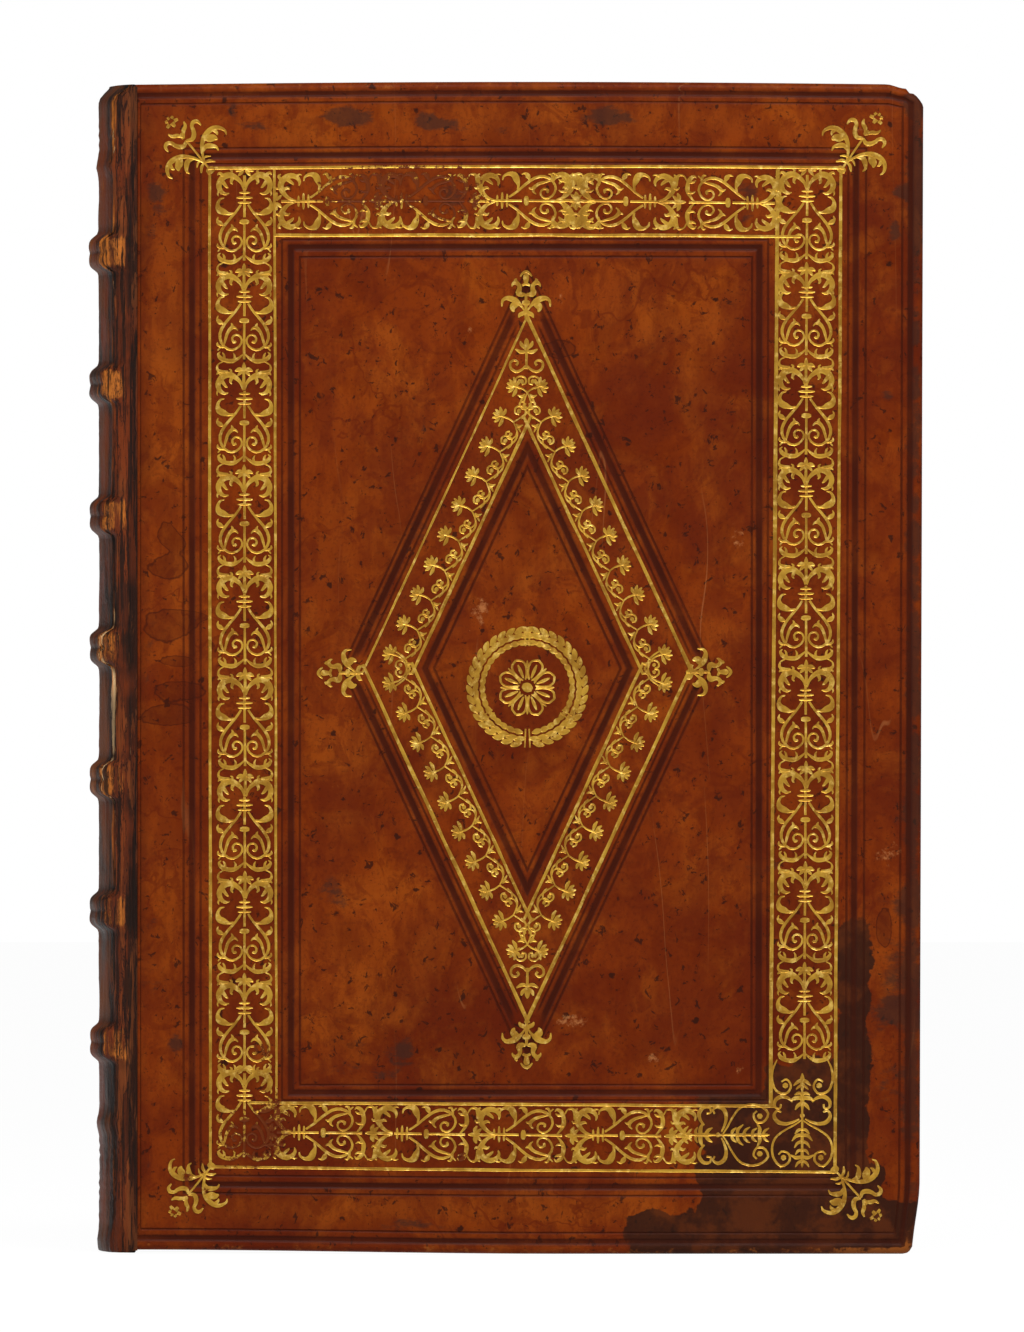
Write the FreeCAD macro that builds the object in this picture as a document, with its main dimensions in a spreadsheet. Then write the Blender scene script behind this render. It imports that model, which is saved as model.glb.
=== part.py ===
import FreeCAD, Part
import math
import os
import Sketcher

from FreeCAD import Vector

# A large antique folio: a text block sewn on raised cords and laced into pasteboard covers,
# bound in brown leather with blind fillets and gilt borders on the front cover.
# The book stands upright on the tail edges of its covers, front cover towards -Y, spine at -X.
# All sizes are in millimetres.

driving_sizes = [
    # covers
    ("board_height", 420.0),
    ("board_width", 282.8),
    ("board_thickness", 4.6),
    ("leather_thickness", 1.0),
    ("turn_in_width", 16.0),
    ("turn_in_thickness", 0.6),
    ("pastedown_thickness", 0.3),
    ("pastedown_margin", 5.0),
    ("cover_edge_radius", 2.2),
    ("cover_corner_radius", 3.0),
    ("running_gap", 0.3),
    # text block
    ("block_thickness", 52.0),
    ("head_square", 6.0),
    ("fore_square", 5.5),
    ("fore_edge_hollow", 9.0),
    # spine
    ("panel_reach", 12.8),
    ("shoulder_radius", 8.0),
    ("lining_thickness", 0.4),
    ("paste_gap", 0.1),
    ("cap_setback", 1.0),
    ("cap_depth", 5.0),
    ("cap_draw", 0.8),
    ("cap_lip", 1.2),
    ("cap_reach", 3.2),
    # raised bands
    ("band_count", 7),
    ("band_first", 75.6),
    ("band_pitch", 47.3),
    ("band_height", 3.2),
    ("band_width", 9.6),
    ("band_groove", 0.8),
    ("band_leather", 1.5),
    ("cord_width", 3.2),
    ("cord_gap", 0.3),
    # cord slips laced into the boards
    ("slip_length", 34.0),
    ("slip_width", 6.6),
    ("slip_thickness", 1.5),
    # endbands
    ("endband_width", 4.2),
    ("endband_height", 3.6),
    # blind fillets
    ("fillet_depth", 0.3),
    ("fillet_thin", 0.7),
    ("fillet_wide", 2.2),
    ("fillet_near", 3.3),
    ("fillet_pitch", 3.1),
    ("edge_fillet_inset", 4.3),
    ("joint_fillet_inset", 1.5),
    # gilt frame
    ("frame_joint_margin", 27.6),
    ("frame_edge_margin", 30.2),
    ("frame_width", 23.6),
    ("gilt_line", 1.0),
    ("gilt_thickness", 0.12),
    ("gilt_depth", 0.2),
    ("roll_period", 36.4),
    ("roll_reach", 9.3),
    # gilt lozenge
    ("lozenge_tip_gap", 11.9),
    ("lozenge_side_gap", 11.0),
    ("lozenge_band", 16.2),
    ("vine_period", 12.05),
    # fleurons and medallion
    ("fleuron_height", 17.2),
    ("wreath_outer", 21.3),
    ("wreath_inner", 15.5),
    ("wreath_drop", 6.8),
    ("wreath_leaves", 16),
    ("rosette_petals", 8),
    ("rosette_radius", 10.5),
]

doc = FreeCAD.newDocument("leather_book")
sheet = doc.addObject("Spreadsheet::Sheet", "sizes")
for row, (alias, value) in enumerate(driving_sizes, start=1):
    sheet.set("A%d" % row, str(value))
    sheet.setAlias("A%d" % row, alias)
doc.recompute()


def size(alias):
    return float(sheet.get(alias))


def count(alias):
    return int(round(size(alias)))


# Levels from the middle of the book outwards, as expressions and as numbers

pastedown_level = "(sizes.block_thickness / 2 + sizes.running_gap)"
turn_in_level = "(%s + sizes.pastedown_thickness)" % pastedown_level
board_inner_level = "(%s + sizes.turn_in_thickness)" % turn_in_level
board_outer_level = "(%s + sizes.board_thickness)" % board_inner_level

fore_edge = "((sizes.board_width + sizes.panel_reach + sizes.band_height) / 2)"
joint_line = "(%s - sizes.board_width)" % fore_edge
cover_start = "(%s + sizes.running_gap)" % joint_line
board_fore = "(%s - sizes.leather_thickness)" % fore_edge
board_tail = "(sizes.leather_thickness)"
board_head = "(sizes.board_height - sizes.leather_thickness)"

block_half = size("block_thickness") / 2
half_depth = (
    block_half + size("running_gap") + size("pastedown_thickness") + size("turn_in_thickness")
    + size("board_thickness") + size("leather_thickness")
)
fore_x = (size("board_width") + size("panel_reach") + size("band_height")) / 2
joint_x = fore_x - size("board_width")
board_middle = (joint_x + fore_x) / 2
middle_height = size("board_height") / 2
block_tail = size("head_square")
block_head = size("board_height") - size("head_square")
block_skin = size("leather_thickness") + size("lining_thickness") + 2 * size("paste_gap")
frame_inset = size("frame_edge_margin") + size("frame_width") + size("fleuron_height") + size("gilt_line")
lozenge_tall = middle_height - frame_inset - size("lozenge_tip_gap")
lozenge_wide = (fore_x - joint_x) / 2 - frame_inset - size("lozenge_side_gap")
band_heights = [size("band_first") + size("band_pitch") * step for step in range(count("band_count"))]

finished = []


def keep(feature, label):
    feature.Label = label
    finished.append(feature)
    return feature


# Sketches and bodies

def origin_plane(body, role):
    for feature in body.Origin.OriginFeatures:
        if feature.Role == role:
            return feature
    raise ValueError(role)


def add_sketch(body, name, role, offset):
    sketch = body.newObject("Sketcher::SketchObject", name)
    sketch.AttachmentSupport = (origin_plane(body, role), [""])
    sketch.MapMode = "FlatFace"
    sketch.setExpression("AttachmentOffset.Base.z", offset)
    return sketch


def add_rectangle(sketch, left, right, bottom, top):
    """A closed rectangle whose four edges stand at the given expressions."""
    corners = [(left, bottom), (right, bottom), (right, top), (left, top)]
    start = [Vector(0, 0, 0), Vector(1, 0, 0), Vector(1, 1, 0), Vector(0, 1, 0)]
    first = sketch.GeometryCount
    for index in range(4):
        sketch.addGeometry(Part.LineSegment(start[index], start[(index + 1) % 4]))
    for index in range(4):
        sketch.addConstraint(
            Sketcher.Constraint("Coincident", first + index, 2, first + (index + 1) % 4, 1)
        )
    for index, (across, along) in enumerate(corners):
        for kind, expression in (("DistanceX", across), ("DistanceY", along)):
            number = sketch.addConstraint(
                Sketcher.Constraint(kind, -1, 1, first + index, 1, getattr(start[index], kind[-1].lower()))
            )
            sketch.setExpression("Constraints[%d]" % number, expression)


def add_pad(body, name, sketch, length, reverse):
    pad = body.newObject("PartDesign::Pad", name)
    pad.Profile = sketch
    pad.setExpression("Length", length)
    pad.Reversed = reverse
    doc.recompute()
    return pad


def add_pocket(body, name, sketch, depth, reverse):
    """A pocket that is compared with the solid before it, so that it is known to cut."""
    before = body.Shape.Volume
    pocket = body.newObject("PartDesign::Pocket", name)
    pocket.Profile = sketch
    pocket.setExpression("Length", depth)
    pocket.Reversed = reverse
    doc.recompute()
    if not pocket.Shape.Volume < before - 1:
        raise ValueError(name + " cuts nothing")
    return pocket


def edges_where(shape, test):
    names = []
    for number, edge in enumerate(shape.Edges, start=1):
        if test(edge):
            names.append("Edge%d" % number)
    return names


def side_plane(side, level):
    """Offset of a sketch on the XZ plane, whose normal points to -Y."""
    return "%d * %s" % (-side, level)


# Covers

def make_board(side, name):
    """Pasteboard with a channel at each band for the cord slips."""
    body = doc.addObject("PartDesign::Body", name)
    outline = add_sketch(body, name + "_outline", "XZ_Plane", side_plane(side, board_inner_level))
    add_rectangle(outline, cover_start, board_fore, board_tail, board_head)
    add_pad(body, name + "_pad", outline, "sizes.board_thickness", side > 0)
    channels = add_sketch(body, name + "_channels", "XZ_Plane", side_plane(side, board_outer_level))
    for step in range(count("band_count")):
        middle = "(sizes.band_first + %d * sizes.band_pitch)" % step
        add_rectangle(
            channels, cover_start, cover_start + " + sizes.slip_length",
            middle + " - sizes.slip_width / 2", middle + " + sizes.slip_width / 2",
        )
    add_pocket(body, name + "_slots", channels, "sizes.slip_thickness", side > 0)
    return keep(body, name)


def make_pastedown(side, name):
    """A paper leaf pasted over the turn-ins, stepping down into the window that they leave."""
    body = doc.addObject("PartDesign::Body", name)
    window_edge = "sizes.turn_in_width"
    lap = add_sketch(body, name + "_lap", "XZ_Plane", side_plane(side, pastedown_level))
    add_rectangle(
        lap, cover_start, fore_edge + " - sizes.pastedown_margin",
        "sizes.pastedown_margin", "sizes.board_height - sizes.pastedown_margin",
    )
    add_pad(body, name + "_leaf", lap, "sizes.pastedown_thickness", side > 0)
    window = add_sketch(body, name + "_window", "XZ_Plane", side_plane(side, pastedown_level))
    add_rectangle(
        window, cover_start, fore_edge + " - " + window_edge,
        window_edge, "sizes.board_height - " + window_edge,
    )
    step = "sizes.pastedown_thickness + sizes.turn_in_thickness"
    add_pad(body, name + "_step", window, step, side > 0)
    hollow = add_sketch(body, name + "_hollow", "XZ_Plane", side_plane(side, pastedown_level))
    inner_edge = "%s - sizes.pastedown_thickness" % window_edge.replace("sizes", "-sizes")
    add_rectangle(
        hollow, cover_start, fore_edge + " + " + inner_edge,
        "sizes.turn_in_width + sizes.pastedown_thickness",
        "sizes.board_height - sizes.turn_in_width - sizes.pastedown_thickness",
    )
    add_pocket(body, name + "_dip", hollow, "sizes.turn_in_thickness", side < 0)
    return keep(body, name)


def make_cover_blank(side, name):
    """Leather round the board: outer face, rolled edges and turn-ins on three sides."""
    body = doc.addObject("PartDesign::Body", name)
    outline = add_sketch(body, name + "_outline", "XZ_Plane", side_plane(side, turn_in_level))
    add_rectangle(outline, cover_start, fore_edge, "0", "sizes.board_height")
    total = "sizes.turn_in_thickness + sizes.board_thickness + sizes.leather_thickness"
    pad = add_pad(body, name + "_pad", outline, total, side > 0)

    def is_corner(edge):
        middle = edge.CenterOfMass
        return abs(middle.x - fore_x) < 0.01 and abs(edge.BoundBox.YLength - edge.Length) < 0.01

    corners = body.newObject("PartDesign::Fillet", name + "_corners")
    corners.Base = (pad, edges_where(pad.Shape, is_corner))
    corners.setExpression("Radius", "sizes.cover_corner_radius")
    doc.recompute()

    def is_outer_rim(edge):
        box = edge.BoundBox
        flat = box.YLength < 0.01 and abs(side * box.Center.y - half_depth) < 0.01
        return flat and box.XMax > joint_x + 1

    rim = body.newObject("PartDesign::Fillet", name + "_rim")
    rim.Base = (corners, edges_where(corners.Shape, is_outer_rim))
    rim.setExpression("Radius", "sizes.cover_edge_radius")
    doc.recompute()

    room = add_sketch(body, name + "_room", "YZ_Plane", cover_start)
    levels = [board_inner_level, board_outer_level]
    if side < 0:
        levels = ["-" + board_outer_level, "-" + board_inner_level]
    add_rectangle(room, levels[0], levels[1], board_tail, board_head)
    depth = board_fore + " - " + cover_start
    add_pocket(body, name + "_board_room", room, depth, True)
    window = add_sketch(body, name + "_window", "XZ_Plane", side_plane(side, turn_in_level))
    add_rectangle(
        window, cover_start, fore_edge + " - sizes.turn_in_width",
        "sizes.turn_in_width", "sizes.board_height - sizes.turn_in_width",
    )
    add_pocket(body, name + "_turn_ins", window, "sizes.turn_in_thickness", side < 0)
    return body


# Flat figures on the covers: x runs to the fore edge and z up

def face_of(points):
    corners = [Vector(x, 0, z) for x, z in points]
    return Part.Face(Part.makePolygon(corners + corners[:1]))


def rectangle(left, right, bottom, top):
    return [(left, bottom), (right, bottom), (right, top), (left, top)]


def lozenge(offset):
    """The gilt lozenge about the board's middle, with its sides moved out by the offset."""
    slant = math.hypot(lozenge_wide, lozenge_tall)
    wide = lozenge_wide + offset * slant / lozenge_tall
    tall = lozenge_tall + offset * slant / lozenge_wide
    return [
        (board_middle - wide, middle_height), (board_middle, middle_height - tall),
        (board_middle + wide, middle_height), (board_middle, middle_height + tall),
    ]


def ring(outer, inner):
    return face_of(outer).cut(face_of(inner))


def frame_rectangle(inset):
    """The gilt frame's outer line, moved inwards by the inset."""
    return rectangle(
        joint_x + size("frame_joint_margin") + inset, fore_x - size("frame_edge_margin") - inset,
        size("frame_edge_margin") + inset, size("board_height") - size("frame_edge_margin") - inset,
    )


def raise_face(face, side, level, thickness):
    """A prism on a face's outline, from the level outwards by the thickness."""
    placed = face.copy()
    placed.translate(Vector(0, side * level, 0))
    return placed.extrude(Vector(0, side * thickness, 0))


def fillet_ring(outline, distance, width):
    return ring(outline(distance + width / 2), outline(distance - width / 2))


def fillet_set(outline, direction):
    """Thin, wide and thin lines beside a gilt line."""
    rings = []
    widths = [size("fillet_thin"), size("fillet_wide"), size("fillet_thin")]
    for step, width in enumerate(widths):
        distance = direction * (size("fillet_near") + step * size("fillet_pitch"))
        rings.append(fillet_ring(outline, distance, width))
    return rings


def lozenge_tooling():
    """Blind lines outside the lozenge stop short of its tips, where the fleurons stand."""
    tip = size("fillet_near")
    clip = face_of(rectangle(
        board_middle - lozenge_wide - tip, board_middle + lozenge_wide + tip,
        middle_height - lozenge_tall - tip, middle_height + lozenge_tall + tip,
    ))
    band = size("lozenge_band")
    outside = fillet_set(lozenge, 1)
    inside = fillet_set(lambda offset: lozenge(offset - band), -1)
    return [figure.common(clip) for figure in outside] + inside


def edge_outline(inset):
    """Lines near the edges of the cover: a rectangle that leaves the joint line by less."""
    joint_inset = size("fillet_near") + inset - size("edge_fillet_inset")
    return rectangle(
        joint_x + max(joint_inset, size("joint_fillet_inset")), fore_x - inset,
        inset, size("board_height") - inset,
    )


def border_tooling():
    """Blind lines of a whole cover: two near its edges, three outside the frame and three inside."""
    figures = [
        ring(
            edge_outline(size("edge_fillet_inset") - size("fillet_wide") / 2),
            edge_outline(size("edge_fillet_inset") + size("fillet_wide") / 2),
        ),
        ring(
            edge_outline(size("edge_fillet_inset") + size("fillet_pitch") - size("fillet_thin") / 2),
            edge_outline(size("edge_fillet_inset") + size("fillet_pitch") + size("fillet_thin") / 2),
        ),
    ]
    figures += fillet_set(lambda offset: frame_rectangle(-offset), 1)
    width = size("frame_width")
    figures += fillet_set(lambda offset: frame_rectangle(width - offset), -1)
    return figures


def front_fields():
    """Shallow fields that the gilt tools sit in."""
    half_line = size("gilt_line") / 2
    frame = ring(frame_rectangle(-half_line), frame_rectangle(size("frame_width") + half_line))
    band = ring(lozenge(half_line), lozenge(-size("lozenge_band") - half_line))
    centre = Vector(board_middle, 0, middle_height - size("wreath_drop"))
    disc = Part.Face(Part.Wire(Part.makeCircle(size("wreath_outer"), centre, Vector(0, 1, 0))))
    return [frame, band, disc] + fleuron_fields()


# Gilt motifs: each is a list of outlines in its own plane, u across and v along

def leaf_stroke(line, widths):
    """A ribbon along a line of points, with a half width at each."""
    left = []
    right = []
    for index, (u, v) in enumerate(line):
        before = line[max(index - 1, 0)]
        after = line[min(index + 1, len(line) - 1)]
        along_u = after[0] - before[0]
        along_v = after[1] - before[1]
        length = math.hypot(along_u, along_v)
        across = (-along_v / length * widths[index], along_u / length * widths[index])
        left.append((u + across[0], v + across[1]))
        right.append((u - across[0], v - across[1]))
    return left + right[::-1]


def diamond(u, v, half_u, half_v):
    return [(u - half_u, v), (u, v - half_v), (u + half_u, v), (u, v + half_v)]


def mirrored(outlines):
    return outlines + [[(-u, v) for u, v in outline] for outline in outlines]


def coil(u, v, radius, tightening, start, turn, steps):
    """Points of a scroll whose radius shrinks evenly from start, in degrees, through the turn."""
    points = []
    for step in range(steps):
        share = step / (steps - 1)
        angle = math.radians(start + turn * share)
        reach = radius * (1 - tightening * share)
        points.append((u + reach * math.cos(angle), v + reach * math.sin(angle)))
    return points


def roll_unit():
    """One repeat of the border roll: crossbar, heart of two scrolls, palmette."""
    reach = size("roll_reach")
    period = size("roll_period")
    line = size("gilt_line")
    heart = [(0.1 * reach, 0.04 * period), (0.62 * reach, 0.22 * period)]
    three_quarters = 270
    heart += coil(0.38 * reach, 0.42 * period, 0.52 * reach, 0.72, 0, three_quarters, 4)
    palmette = [
        (0.1 * reach, 0.86 * period), (0.5 * reach, 0.77 * period), (0.86 * reach, 0.88 * period),
    ]
    bar = [
        (line / 2, 0), (0.32 * reach, 0), (0.32 * reach, 0.03 * period), (line / 2, 0.03 * period),
    ]
    half = [
        leaf_stroke(heart, [0.35 * line, 0.5 * line, 0.6 * line, 0.6 * line, 0.5 * line, 0.6 * line]),
        leaf_stroke(palmette, [0.3 * line, line, 0.4 * line]),
        bar,
    ]
    return mirrored(half)


def vine_unit():
    """One repeat of the lozenge vine: stem, bud on the inner side, flower on the outer."""
    period = size("vine_period")
    reach = size("lozenge_band") / 2 - size("gilt_line")
    line = size("gilt_line")
    stem = [(-0.15 * reach, 0), (-0.6 * reach, 0.45 * period), (-0.05 * reach, 0.85 * period)]
    flower = [
        (0.2 * reach, 0.62 * period), (0.5 * reach, 0.42 * period), (0.85 * reach, 0.7 * period),
        (0.5 * reach, 0.98 * period),
    ]
    return [
        leaf_stroke(stem, [0.3 * line, 0.5 * line, 0.25 * line]),
        diamond(0, 0.35 * period, 0.22 * reach, 0.14 * period),
        flower,
    ]


def fleuron():
    """A crown of three lobes over a heart of two drops and a pair of curling leaves."""
    tall = size("fleuron_height")
    line = size("gilt_line")
    half = [
        diamond(0.2 * tall, 0.72 * tall, 0.09 * tall, 0.11 * tall),
        diamond(0.12 * tall, 0.52 * tall, 0.08 * tall, 0.1 * tall),
        leaf_stroke(
            [(0.04 * tall, 0.18 * tall), (0.22 * tall, 0.38 * tall),
             (0.42 * tall, 0.36 * tall), (0.48 * tall, 0.22 * tall)],
            [0.3 * line, line, 1.1 * line, 0.3 * line],
        ),
    ]
    return mirrored(half) + [diamond(0, 0.88 * tall, 0.1 * tall, 0.12 * tall)]


def fleuron_field():
    """The outline that the fleuron's tool presses into the leather."""
    tall = size("fleuron_height")
    right = [(0.06 * tall, 0.04 * tall), (0.54 * tall, 0.18 * tall), (0.36 * tall, 0.72 * tall)]
    return right + [(0, 1.02 * tall)] + [(-u, v) for u, v in right[::-1]]


def place_outline(outline, start, direction):
    """Carries a motif's outline to a start point, with v along the direction and u to its right."""
    along_x, along_z = direction
    placed = []
    for u, v in outline:
        placed.append((start[0] + u * along_z + v * along_x, start[1] - u * along_x + v * along_z))
    return placed


def repeat_along(unit, start, end, period, turned):
    """Whole repeats of a motif along a straight run, centred on it."""
    length = math.hypot(end[0] - start[0], end[1] - start[1])
    direction = ((end[0] - start[0]) / length, (end[1] - start[1]) / length)
    number = int(length / period)
    spare = (length - number * period) / 2
    outlines = []
    for step in range(number):
        distance = spare + step * period
        origin = (start[0] + direction[0] * distance, start[1] + direction[1] * distance)
        for outline in unit:
            shape = [(turned * u, v) for u, v in outline]
            outlines.append(place_outline(shape, origin, direction))
    return outlines


def border_outlines():
    """Frame lines, stems and roll repeats of the four sides."""
    width = size("frame_width")
    line = size("gilt_line")
    unit = roll_unit()
    middle = frame_rectangle(width / 2)
    inner = frame_rectangle(width)
    outer = frame_rectangle(0)
    left, right = middle[0][0], middle[1][0]
    tail, head = middle[0][1], middle[2][1]
    sides = [
        ((left, outer[2][1] - line), (left, outer[0][1] + line)),
        ((right, outer[2][1] - line), (right, outer[0][1] + line)),
        ((inner[0][0], head), (inner[1][0], head)),
        ((inner[0][0], tail), (inner[1][0], tail)),
    ]
    outlines = []
    stem = 0.35 * line
    for start, end in sides:
        outlines += repeat_along(unit, start, end, size("roll_period"), 1)
        length = math.hypot(end[0] - start[0], end[1] - start[1])
        direction = ((end[0] - start[0]) / length, (end[1] - start[1]) / length)
        outlines.append(place_outline(rectangle(-stem, stem, 0, length), start, direction))
    return outlines


def border_faces():
    line = size("gilt_line")
    width = size("frame_width")
    faces = [face_of(outline) for outline in border_outlines()]
    for inset in (0, width):
        faces.append(ring(frame_rectangle(inset - line / 2), frame_rectangle(inset + line / 2)))
    return faces


def lozenge_faces():
    half_line = size("gilt_line") / 2
    band = size("lozenge_band")
    faces = []
    for offset in (0, -band):
        faces.append(ring(lozenge(offset + half_line), lozenge(offset - half_line)))
    left, foot, right, crown = lozenge(-band / 2)
    unit = vine_unit()
    runs = [(crown, left, 1), (crown, right, -1), (foot, left, -1), (foot, right, 1)]
    # the vine stops short of the flanks by this share of a side, and of the tips by twice as much
    flank_share = 0.055
    for start, end, turned in runs:
        length = math.hypot(end[0] - start[0], end[1] - start[1])
        direction = ((end[0] - start[0]) / length, (end[1] - start[1]) / length)
        far_length = flank_share * length
        near_length = 2 * far_length
        near = (start[0] + direction[0] * near_length, start[1] + direction[1] * near_length)
        far = (end[0] - direction[0] * far_length, end[1] - direction[1] * far_length)
        for outline in repeat_along(unit, near, far, size("vine_period"), turned):
            faces.append(face_of(outline))
    return faces


def fleuron_places():
    """Root and direction of each fleuron: on the lozenge's tips and the frame's corners."""
    line = size("gilt_line")
    left, foot, right, crown = lozenge(line)
    corner = frame_rectangle(-line)
    slant = math.sqrt(0.5)
    return [
        (left, (-1, 0)), (foot, (0, -1)), (right, (1, 0)), (crown, (0, 1)),
        (corner[0], (-slant, -slant)), (corner[1], (slant, -slant)),
        (corner[2], (slant, slant)), (corner[3], (-slant, slant)),
    ]


def fleuron_fields():
    return [face_of(place_outline(fleuron_field(), *place)) for place in fleuron_places()]


def fleuron_faces():
    faces = []
    for place in fleuron_places():
        for outline in fleuron():
            faces.append(face_of(place_outline(outline, *place)))
    return faces


def medallion_faces():
    """A ring of laurel leaves round a rosette."""
    centre = (board_middle, middle_height - size("wreath_drop"))
    inner = size("wreath_inner")
    outer = size("wreath_outer")
    faces = []
    number = count("wreath_leaves")
    for step in range(number):
        angle = 2 * math.pi * step / number
        direction = (math.cos(angle), math.sin(angle))
        half_step = math.pi / number * (outer + inner) / 2
        for row, lean in ((inner, 0.2), (outer, -0.2)):
            tip = (outer - inner) * 0.46
            sign = 1 if row == inner else -1
            leaf = diamond(0, row + sign * (tip / 2 + 0.1), 0.42 * half_step, tip / 2)
            leaf = [(u + lean * (v - row), v) for u, v in leaf]
            faces.append(face_of(place_outline(leaf, centre, direction)))
    petals = count("rosette_petals")
    reach = size("rosette_radius")
    for step in range(petals):
        angle = 2 * math.pi * step / petals
        petal = diamond(0, 0.64 * reach, 0.2 * reach, 0.36 * reach)
        faces.append(face_of(place_outline(petal, centre, (math.cos(angle), math.sin(angle)))))
    boss = [
        (centre[0] + 0.22 * reach * math.cos(2 * math.pi * step / petals),
         centre[1] + 0.22 * reach * math.sin(2 * math.pi * step / petals))
        for step in range(petals)
    ]
    faces.append(face_of(boss))
    return faces


def make_gilt(faces, label):
    floor = half_depth - size("gilt_depth")
    prisms = [raise_face(face, -1, floor, size("gilt_thickness")) for face in faces]
    feature = doc.addObject("Part::Feature", label)
    feature.Shape = Part.makeCompound(prisms)
    return keep(feature, label)


def make_cover_leather(side, name, figures, fields):
    blank = make_cover_blank(side, name + "_blank")
    depth = size("fillet_depth")
    cutters = [raise_face(face, side, half_depth - depth, depth) for face in figures]
    cutters += [raise_face(face, side, half_depth - size("gilt_depth"), size("gilt_depth")) for face in fields]
    tooling = doc.addObject("Part::Feature", name + "_tooling")
    tooling.Shape = Part.makeCompound(cutters)
    leather = doc.addObject("Part::Cut", name)
    leather.Base = blank
    leather.Tool = tooling
    doc.recompute()
    if not leather.Shape.Volume < blank.Shape.Volume - 1:
        raise ValueError(name + " tooling cuts nothing")
    return keep(leather, name)


def make_slips(side, name):
    """The cord ends pasted into the board's channels."""
    slips = []
    for step in range(count("band_count")):
        slip = doc.addObject("Part::Box", "%s_%d" % (name, step + 1))
        slip.setExpression("Length", "sizes.slip_length")
        slip.setExpression("Width", "sizes.slip_thickness")
        slip.setExpression("Height", "sizes.slip_width")
        slip.setExpression("Placement.Base.x", cover_start)
        low = board_outer_level + " - sizes.slip_thickness"
        if side < 0:
            low = "0 - " + board_outer_level
        slip.setExpression("Placement.Base.y", low)
        middle = "sizes.band_first + %d * sizes.band_pitch" % step
        slip.setExpression("Placement.Base.z", middle + " - sizes.slip_width / 2")
        slips.append(slip)
    group = doc.addObject("Part::Compound", name)
    group.Links = slips
    return keep(group, name)


# Spine section: two shoulder arcs and a back arc between the joint lines

reach = size("panel_reach")
shoulder = size("shoulder_radius")
back_radius = (reach ** 2 + (half_depth - shoulder) ** 2 - shoulder ** 2) / (2 * (reach - shoulder))
back_centre = joint_x - reach + back_radius


def section_edges(lift, inset, z):
    """The spine's outline raised by the lift and then shrunk evenly by the inset.

    A raised outline keeps the back arc's centre and still meets the covers' planes at the
    joint lines, so it fades out over the shoulders."""
    radius = back_radius + lift
    stand = reach + lift
    corner = (2 * radius * stand - stand ** 2 - half_depth ** 2) / (2 * (radius - half_depth))
    across = half_depth - corner
    turn = math.atan2(across, back_centre - joint_x)
    big = radius - inset
    small = corner - inset

    def back_point(angle):
        return Vector(back_centre - big * math.cos(angle), big * math.sin(angle), z)

    def corner_point(side, angle):
        return Vector(joint_x - small * math.cos(angle), side * (across + small * math.sin(angle)), z)

    halfway = (math.pi / 2 + turn) / 2
    return [
        Part.Arc(corner_point(-1, math.pi / 2), corner_point(-1, halfway), back_point(-turn)).toShape(),
        Part.Arc(back_point(-turn), back_point(0), back_point(turn)).toShape(),
        Part.Arc(back_point(turn), corner_point(1, halfway), corner_point(1, math.pi / 2)).toShape(),
    ]


def section_wire(lift, inset, z, extra):
    """The outline closed by straight lines, reaching past the joint line by the extra."""
    edges = section_edges(lift, inset, z)
    start = edges[0].Vertexes[0].Point
    end = edges[2].Vertexes[-1].Point
    points = [end, start]
    if extra > 0:
        points = [end, end + Vector(extra, 0, 0), start + Vector(extra, 0, 0), start]
    for first, second in zip(points, points[1:]):
        edges.append(Part.makeLine(first, second))
    return Part.Wire(edges)


def section_prism(lift, inset, low, high, extra):
    face = Part.Face(section_wire(lift, inset, low, extra))
    return face.extrude(Vector(0, 0, high - low))


def outline_turn(lift):
    """Half angle of the back arc in an outline raised by the lift."""
    radius = back_radius + lift
    stand = reach + lift
    corner = (2 * radius * stand - stand ** 2 - half_depth ** 2) / (2 * (radius - half_depth))
    return math.degrees(math.atan2(half_depth - corner, back_centre - joint_x))


def back_strip(depth, low, high, top):
    """A strip round the block's back: from the depth under the panels up to the top radius."""
    bottom = back_radius - depth
    turn = outline_turn(0)
    if top > back_radius:
        # the cords end where the band starts to fade over the shoulder
        turn = (turn + outline_turn(size("band_height"))) / 2
    corners = [
        Vector(back_centre - radius, 0, height)
        for radius, height in ((bottom, low), (top, low), (top, high), (bottom, high))
    ]
    face = Part.Face(Part.makePolygon(corners + corners[:1]))
    axis = Vector(back_centre, 0, 0)
    face.rotate(axis, Vector(0, 0, 1), -turn)
    return face.revolve(axis, Vector(0, 0, 1), 2 * turn)


cord_top = back_radius + size("band_height") - size("band_leather")


def spine_stations():
    """Heights along the spine with the lift of the leather at each."""
    tail = size("cap_setback")
    head = size("board_height") - size("cap_setback")
    depth = size("cap_depth")
    draw = size("cap_draw")
    stations = [(tail, -draw), (tail + 0.25 * depth, -0.3 * draw), (tail + depth, 0)]
    width = size("band_width")
    height = size("band_height")
    groove = 1 - size("band_groove") / height
    shape = [(0.6, 0), (0.38, 0.8), (0.2, 1), (0, groove)]
    mirrored_shape = shape + [(-share, rise) for share, rise in shape[-2::-1]]
    for centre in band_heights:
        for share, rise in mirrored_shape:
            stations.append((centre - share * width, rise * height))
    stations += [(head - depth, 0), (head - 0.25 * depth, -0.3 * draw), (head, -draw)]
    return stations


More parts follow.
